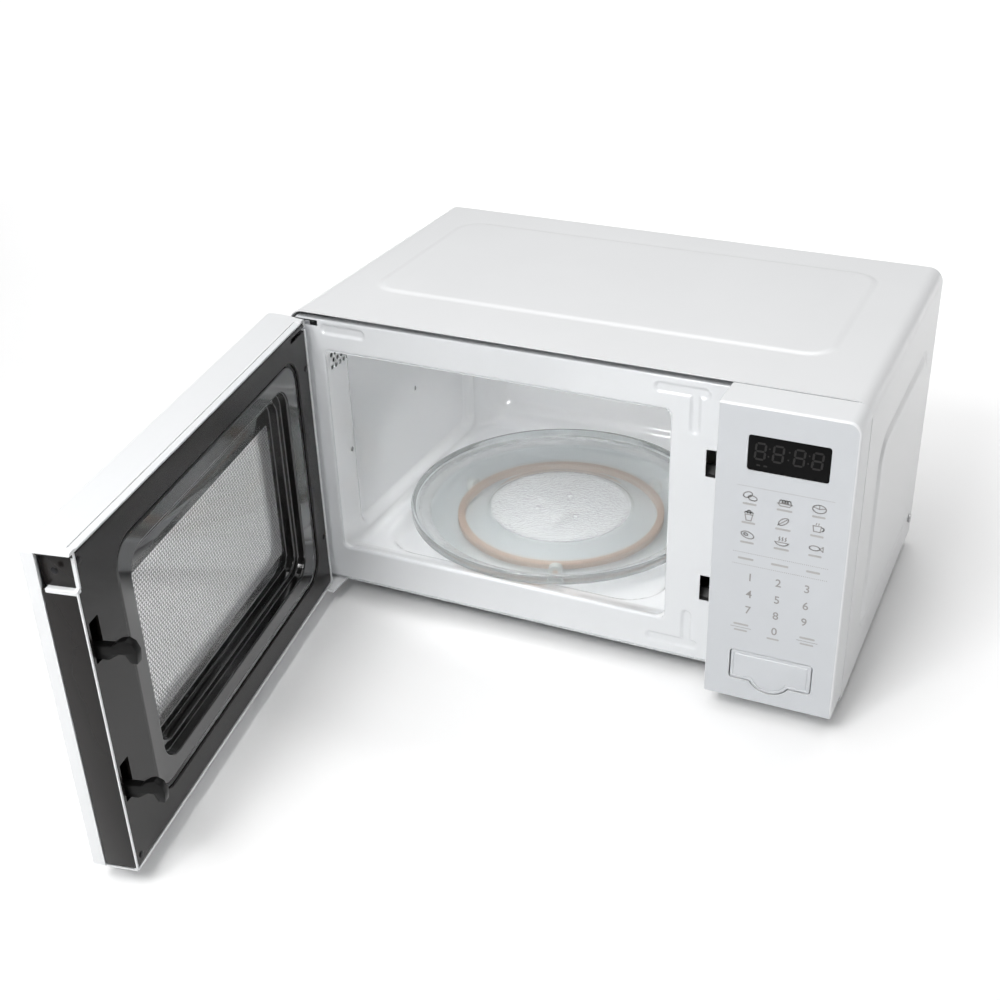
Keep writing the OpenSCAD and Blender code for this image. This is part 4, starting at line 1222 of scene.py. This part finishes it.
def icon_at(k, x, z):
    if k == 0:      # two ovals
        stroke(ell(x - 1.3, z + 0.8, 2.7, 1.7, 14, rot=25), closed=True)
        stroke(ell(x + 1.5, z - 1.0, 2.6, 1.5, 14, rot=-10), closed=True)
    elif k == 1:    # heaped plate
        stroke([(x - 4, z - 0.8), (x + 4, z - 0.8), (x + 2.6, z - 2.4), (x - 2.6, z - 2.4)], closed=True)
        for q in (-2.2, -0.7, 0.8, 2.3):
            stroke(ell(x + q, z - 0.6, 1.1, 2.0, 8, 0, 180))
    elif k == 2:    # divided round
        stroke(ell(x, z, 3.8, 2.5, 18), closed=True)
        for q in (20, 90, 160):
            stroke([(x, z), (x + 3.8 * math.cos(math.radians(q)), z + 2.5 * math.sin(math.radians(q)))])
    elif k == 3:    # tub with bumps
        stroke([(x - 2.2, z + 0.4), (x + 2.2, z + 0.4), (x + 1.4, z - 3.4), (x - 1.4, z - 3.4)], closed=True)
        for q in (-1.5, 0, 1.5):
            stroke(ell(x + q, z + 1.2, 0.95, 0.9, 8, 0, 180))
        stroke(ell(x, z + 2.3, 1.0, 0.9, 8, 0, 180))
    elif k == 4:    # leaf
        stroke(ell(x, z, 3.3, 1.7, 14, rot=40), closed=True)
        stroke([(x - 3.2, z - 2.6), (x + 1.8, z + 1.5)])
    elif k == 5:    # cup
        stroke([(x - 2.6, z + 1.4), (x + 2.0, z + 1.4), (x + 1.5, z - 2.2), (x - 2.1, z - 2.2)], closed=True)
        stroke(ell(x + 2.4, z - 0.2, 1.2, 1.1, 8, -90, 90))
        stroke([(x - 1.0, z + 2.2), (x - 0.7, z + 3.2)])
        stroke([(x + 0.4, z + 2.2), (x + 0.7, z + 3.2)])
    elif k == 6:    # rounded cut
        stroke(ell(x, z, 3.8, 2.1, 16, rot=-15), closed=True)
        stroke(ell(x - 1.0, z + 0.3, 1.2, 0.8, 10, rot=-15), closed=True)
    elif k == 7:    # three wisps over a bowl
        for q in (-1.8, 0, 1.8):
            stroke([(x + q, z + 0.5), (x + q + 0.5, z + 1.4), (x + q, z + 2.2), (x + q + 0.5, z + 3.0)])
        stroke(ell(x, z - 0.6, 3.6, 2.0, 10, 180, 360))
        stroke([(x - 4.1, z - 0.6), (x + 4.1, z - 0.6)])
    else:           # fish
        stroke(ell(x - 0.6, z, 3.0, 1.5, 14), closed=True)
        stroke([(x + 2.3, z), (x + 4.2, z + 1.5), (x + 4.2, z - 1.5), (x + 2.3, z)])


k = 0
for z_ in (184.9, 170.3, 154.9):
    for x_, bw in ((150.9, 9.5), (174.7, 10.5), (197.7, 9.0)):
        icon(k, x_, z_)
        bars.append(rr_pts(x_ - bw / 2, z_ - 6.7, x_ + bw / 2, z_ - 5.2, 0.6, 3))
        k += 1
for z_ in (192.1, 140.7, 131.2):
    x_ = 142.0
    while x_ < 207.2:
        pr.append(circle_pts(x_, z_, 0.3, 6))
        x_ += 1.3
for x_, bw in ((150.8, 11), (174.6, 12), (197.6, 9.5)):
    bars.append(rr_pts(x_ - bw / 2, 135.2, x_ + bw / 2, 136.8, 0.6, 3))
for x_ in (150.6, 197.9):
    bars.append(rr_pts(x_ - 5.4, 81.0, x_ + 5.4, 82.5, 0.6, 3))
    pr.append(rr_pts(x_ - 7.5, 79.0, x_ + 7.5, 79.35, 0.1, 2))
    bars.append(rr_pts(x_ - 4.8, 76.1, x_ + 4.8, 77.4, 0.6, 3))
bars.append(rr_pts(169.6, 74.4, 178.4, 75.8, 0.6, 3))
v, f = prism_list(bars, -164.06, -163.98)
mk("panel_bars", v, f, M["print_soft"], "oven", slot="membrane", smooth=30, merge=False)
v, f = prism_list(pr, -164.06, -163.98)


def glyph(ch, x, z, size):
    """A digit as flat faces standing just off the panel."""
    cu = bpy.data.curves.new("g" + ch, "FONT")
    cu.body = ch
    cu.size = size
    cu.align_x = "CENTER"
    cu.resolution_u = 4
    cu.offset = 0.11
    ob = bpy.data.objects.new("g" + ch, cu)
    bpy.context.scene.collection.objects.link(ob)
    bpy.context.view_layer.update()
    me = bpy.data.meshes.new_from_object(ob.evaluated_get(bpy.context.evaluated_depsgraph_get()))
    vv = [(q.co.x + x, -164.06, q.co.y + z) for q in me.vertices]
    ff = [tuple(p.vertices) for p in me.polygons]
    bpy.data.objects.remove(ob)
    bpy.data.curves.remove(cu)
    bpy.data.meshes.remove(me)
    return vv, ff


gv, gf = [], []
rows = ((121.8, "123"), (108.1, "456"), (94.9, "789"))
for z_, s3 in rows:
    for x_, ch in zip((154.8, 174.6, 194.6), s3):
        a, b = glyph(ch, x_, z_ - 3.0, 8.6)
        gf += [tuple(i + len(gv) for i in q) for q in b]
        gv += a
a, b = glyph("0", 174.5, 81.8 - 3.0, 8.6)
gf += [tuple(i + len(gv) for i in q) for q in b]
gv += a
mk("panel_print", v, f, M["print"], "oven", slot="membrane", smooth=30, merge=False)
dg_ = mk("panel_digits", gv, gf, M["print"], None, smooth=30, merge=False)
if sum(p.normal.y for p in dg_.data.polygons) > 0:
    dg_.data.flip_normals()
thicken(dg_, 0.06, 30)
place(dg_, "oven", slot="membrane")

# ------------------------------------------------------------------ glass tray
prof = [(0.001, 42.8), (56, 42.8), (57.5, 42.95), (59, 43.3), (61, 43.3), (62.5, 42.95), (64, 42.8), (100, 42.8), (105, 42.9), (109, 43.3), (112, 43.95), (115, 45.2), (117.2, 46.3), (119.5, 47.0), (122, 47.2),
        (125.8, 47.25), (126.9, 47.6), (127.4, 48.4), (127.5, 49.4), (127.5, 54.3), (127.35, 55.0), (126.9, 55.5), (126.2, 55.7), (125.4, 55.65), (124.7, 55.3), (123.6, 54.0), (121.6, 52.0), (118.2, 50.0), (114.5, 48.55), (110.5, 47.5), (106.5, 47.05), (102, 46.85),
        (66, 46.8), (64, 46.65), (62, 46.2), (59, 46.2), (57, 46.65), (55, 46.8), (0.001, 46.8)]
NSEG = 144
tv, tf = [], []
for r_, z_ in prof:
    for i in range(NSEG):
        a = 2 * math.pi * i / NSEG
        tv.append((TX + r_ * math.cos(a), TY + r_ * math.sin(a), z_))
for j in range(len(prof) - 1):
    for i in range(NSEG):
        k = (i + 1) % NSEG
        tf.append((j * NSEG + i, j * NSEG + k, (j + 1) * NSEG + k, (j + 1) * NSEG + i))
tr = mk("tray_dish", tv, tf, M["tray_glass"], None, smooth=50)
cs = []
for a in (90, 210, 330):
    lx, ly = TX + 20 * math.cos(math.radians(a)), TY + 20 * math.sin(math.radians(a))
    zb_ = max(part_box("glass_tray")[0][2] * 1000, 36.0)
    v, f = loft([[(lx + q * math.cos(t * math.pi / 8), ly + q * math.sin(t * math.pi / 8), z_) for t in range(16)] for q, z_ in ((2.2, zb_), (2.8, zb_ + 0.5), (3.0, zb_ + 1.2), (3.0, 44.0))], caps=True)
    cs.append(cutter("lug", v, f))
cut(tr, cs, 50, op="UNION")
place(tr, body_of(N["glass_tray"])[0], ("glass_tray",))

for nd, w_ in (("roller_ring", 0.35), ("roller_a", 0.4), ("roller_b", 0.4), ("roller_c", 0.4), ("tray_coupler", 0.5), ("hinge_upper", 0.25), ("hinge_lower", 0.25), ("latch_bar", 0.35), ("feet", 0.8), ("rear_spacers", 1.2),
               ("door_screws", 0.25), ("cabinet_screws", 0.3), ("cord_gland", 0.5), ("base_plate", 0.2), ("back_panel", 0.25), ("release_lever", 0.3), ("fan_blade", 0.25), ("fan_shroud", 0.3), ("tray_motor", 0.3), ("waveguide_cover", 0.15)):
    soft_copy(nd, w_)
# ------------------------------------------------------------------ floor, light
def quad(name, size, z):
    me = bpy.data.meshes.new(name)
    s = size / 2
    me.from_pydata([(-s, -s, z), (s, -s, z), (s, s, z), (-s, s, z)], [], [(0, 1, 2, 3)])
    o = bpy.data.objects.new(name, me)
    bpy.context.scene.collection.objects.link(o)
    return o


floor = quad("floor", 8.0, 0.0)
fm, fnt, fbs = new_mat("m_floor")
fv = coords(fnt)
fnt.links.new(ramp(fnt, noise(fnt, fv, 2.0, 2), [(0.3, (0.905, 0.905, 0.905)), (0.7, (0.92, 0.92, 0.92))]), fbs.inputs["Base Color"])
fbs.inputs["Roughness"].default_value = 0.9
fbs.inputs["Specular IOR Level"].default_value = 0.1
dress(floor, fm)

w = bpy.data.worlds.new("w")
bpy.context.scene.world = w
w.use_nodes = True
bg = w.node_tree.nodes["Background"]
wt = w.node_tree
wc = wt.nodes.new("ShaderNodeTexCoord")
ws = wt.nodes.new("ShaderNodeSeparateXYZ")
wt.links.new(wc.outputs["Generated"], ws.inputs[0])
wt.links.new(ramp(wt, maprange(wt, ws.outputs["Z"], -1.0, 1.0, 0.0, 1.0), [(0.0, 0.85), (0.510, 0.8), (0.55, 0.24), (1.0, 0.24)]), bg.inputs[0])
bg.inputs[1].default_value = 1.0


def area(name, loc, target, size, power, sy=None):
    d = bpy.data.lights.new(name, "AREA")
    d.energy = power
    d.size = size
    if sy:
        d.shape = "RECTANGLE"
        d.size_y = sy
    o = bpy.data.objects.new(name, d)
    bpy.context.scene.collection.objects.link(o)
    o.location = loc
    o.visible_camera = False
    o.rotation_euler = (Vector(target) - Vector(loc)).to_track_quat("-Z", "Y").to_euler()
    return o


over = area("overhead", (-0.4, -0.7, 4.2), (-0.1, -0.3, 0), 3.6, 36)
over.data.spread = math.radians(120)
area("key", (-1.2, -1.6, 2.4), (0, 0, 0.1), 1.2, 7.5)
area("fill", (-0.12, -1.15, 1.14), (-0.03, -0.07, 0.14), 0.5, 12.8)
back = area("back", (0, 3.9, 3.2), (0, 3.7, 0), 4.4, 165)
back.data.spread = math.radians(84)
inside = area("inside", (-0.055, -0.080, 0.214), (-0.055, 0.03, 0.03), 0.10, 0.24)
inside.data.spread = math.radians(110)

bpy.context.scene.view_settings.view_transform = "Standard"
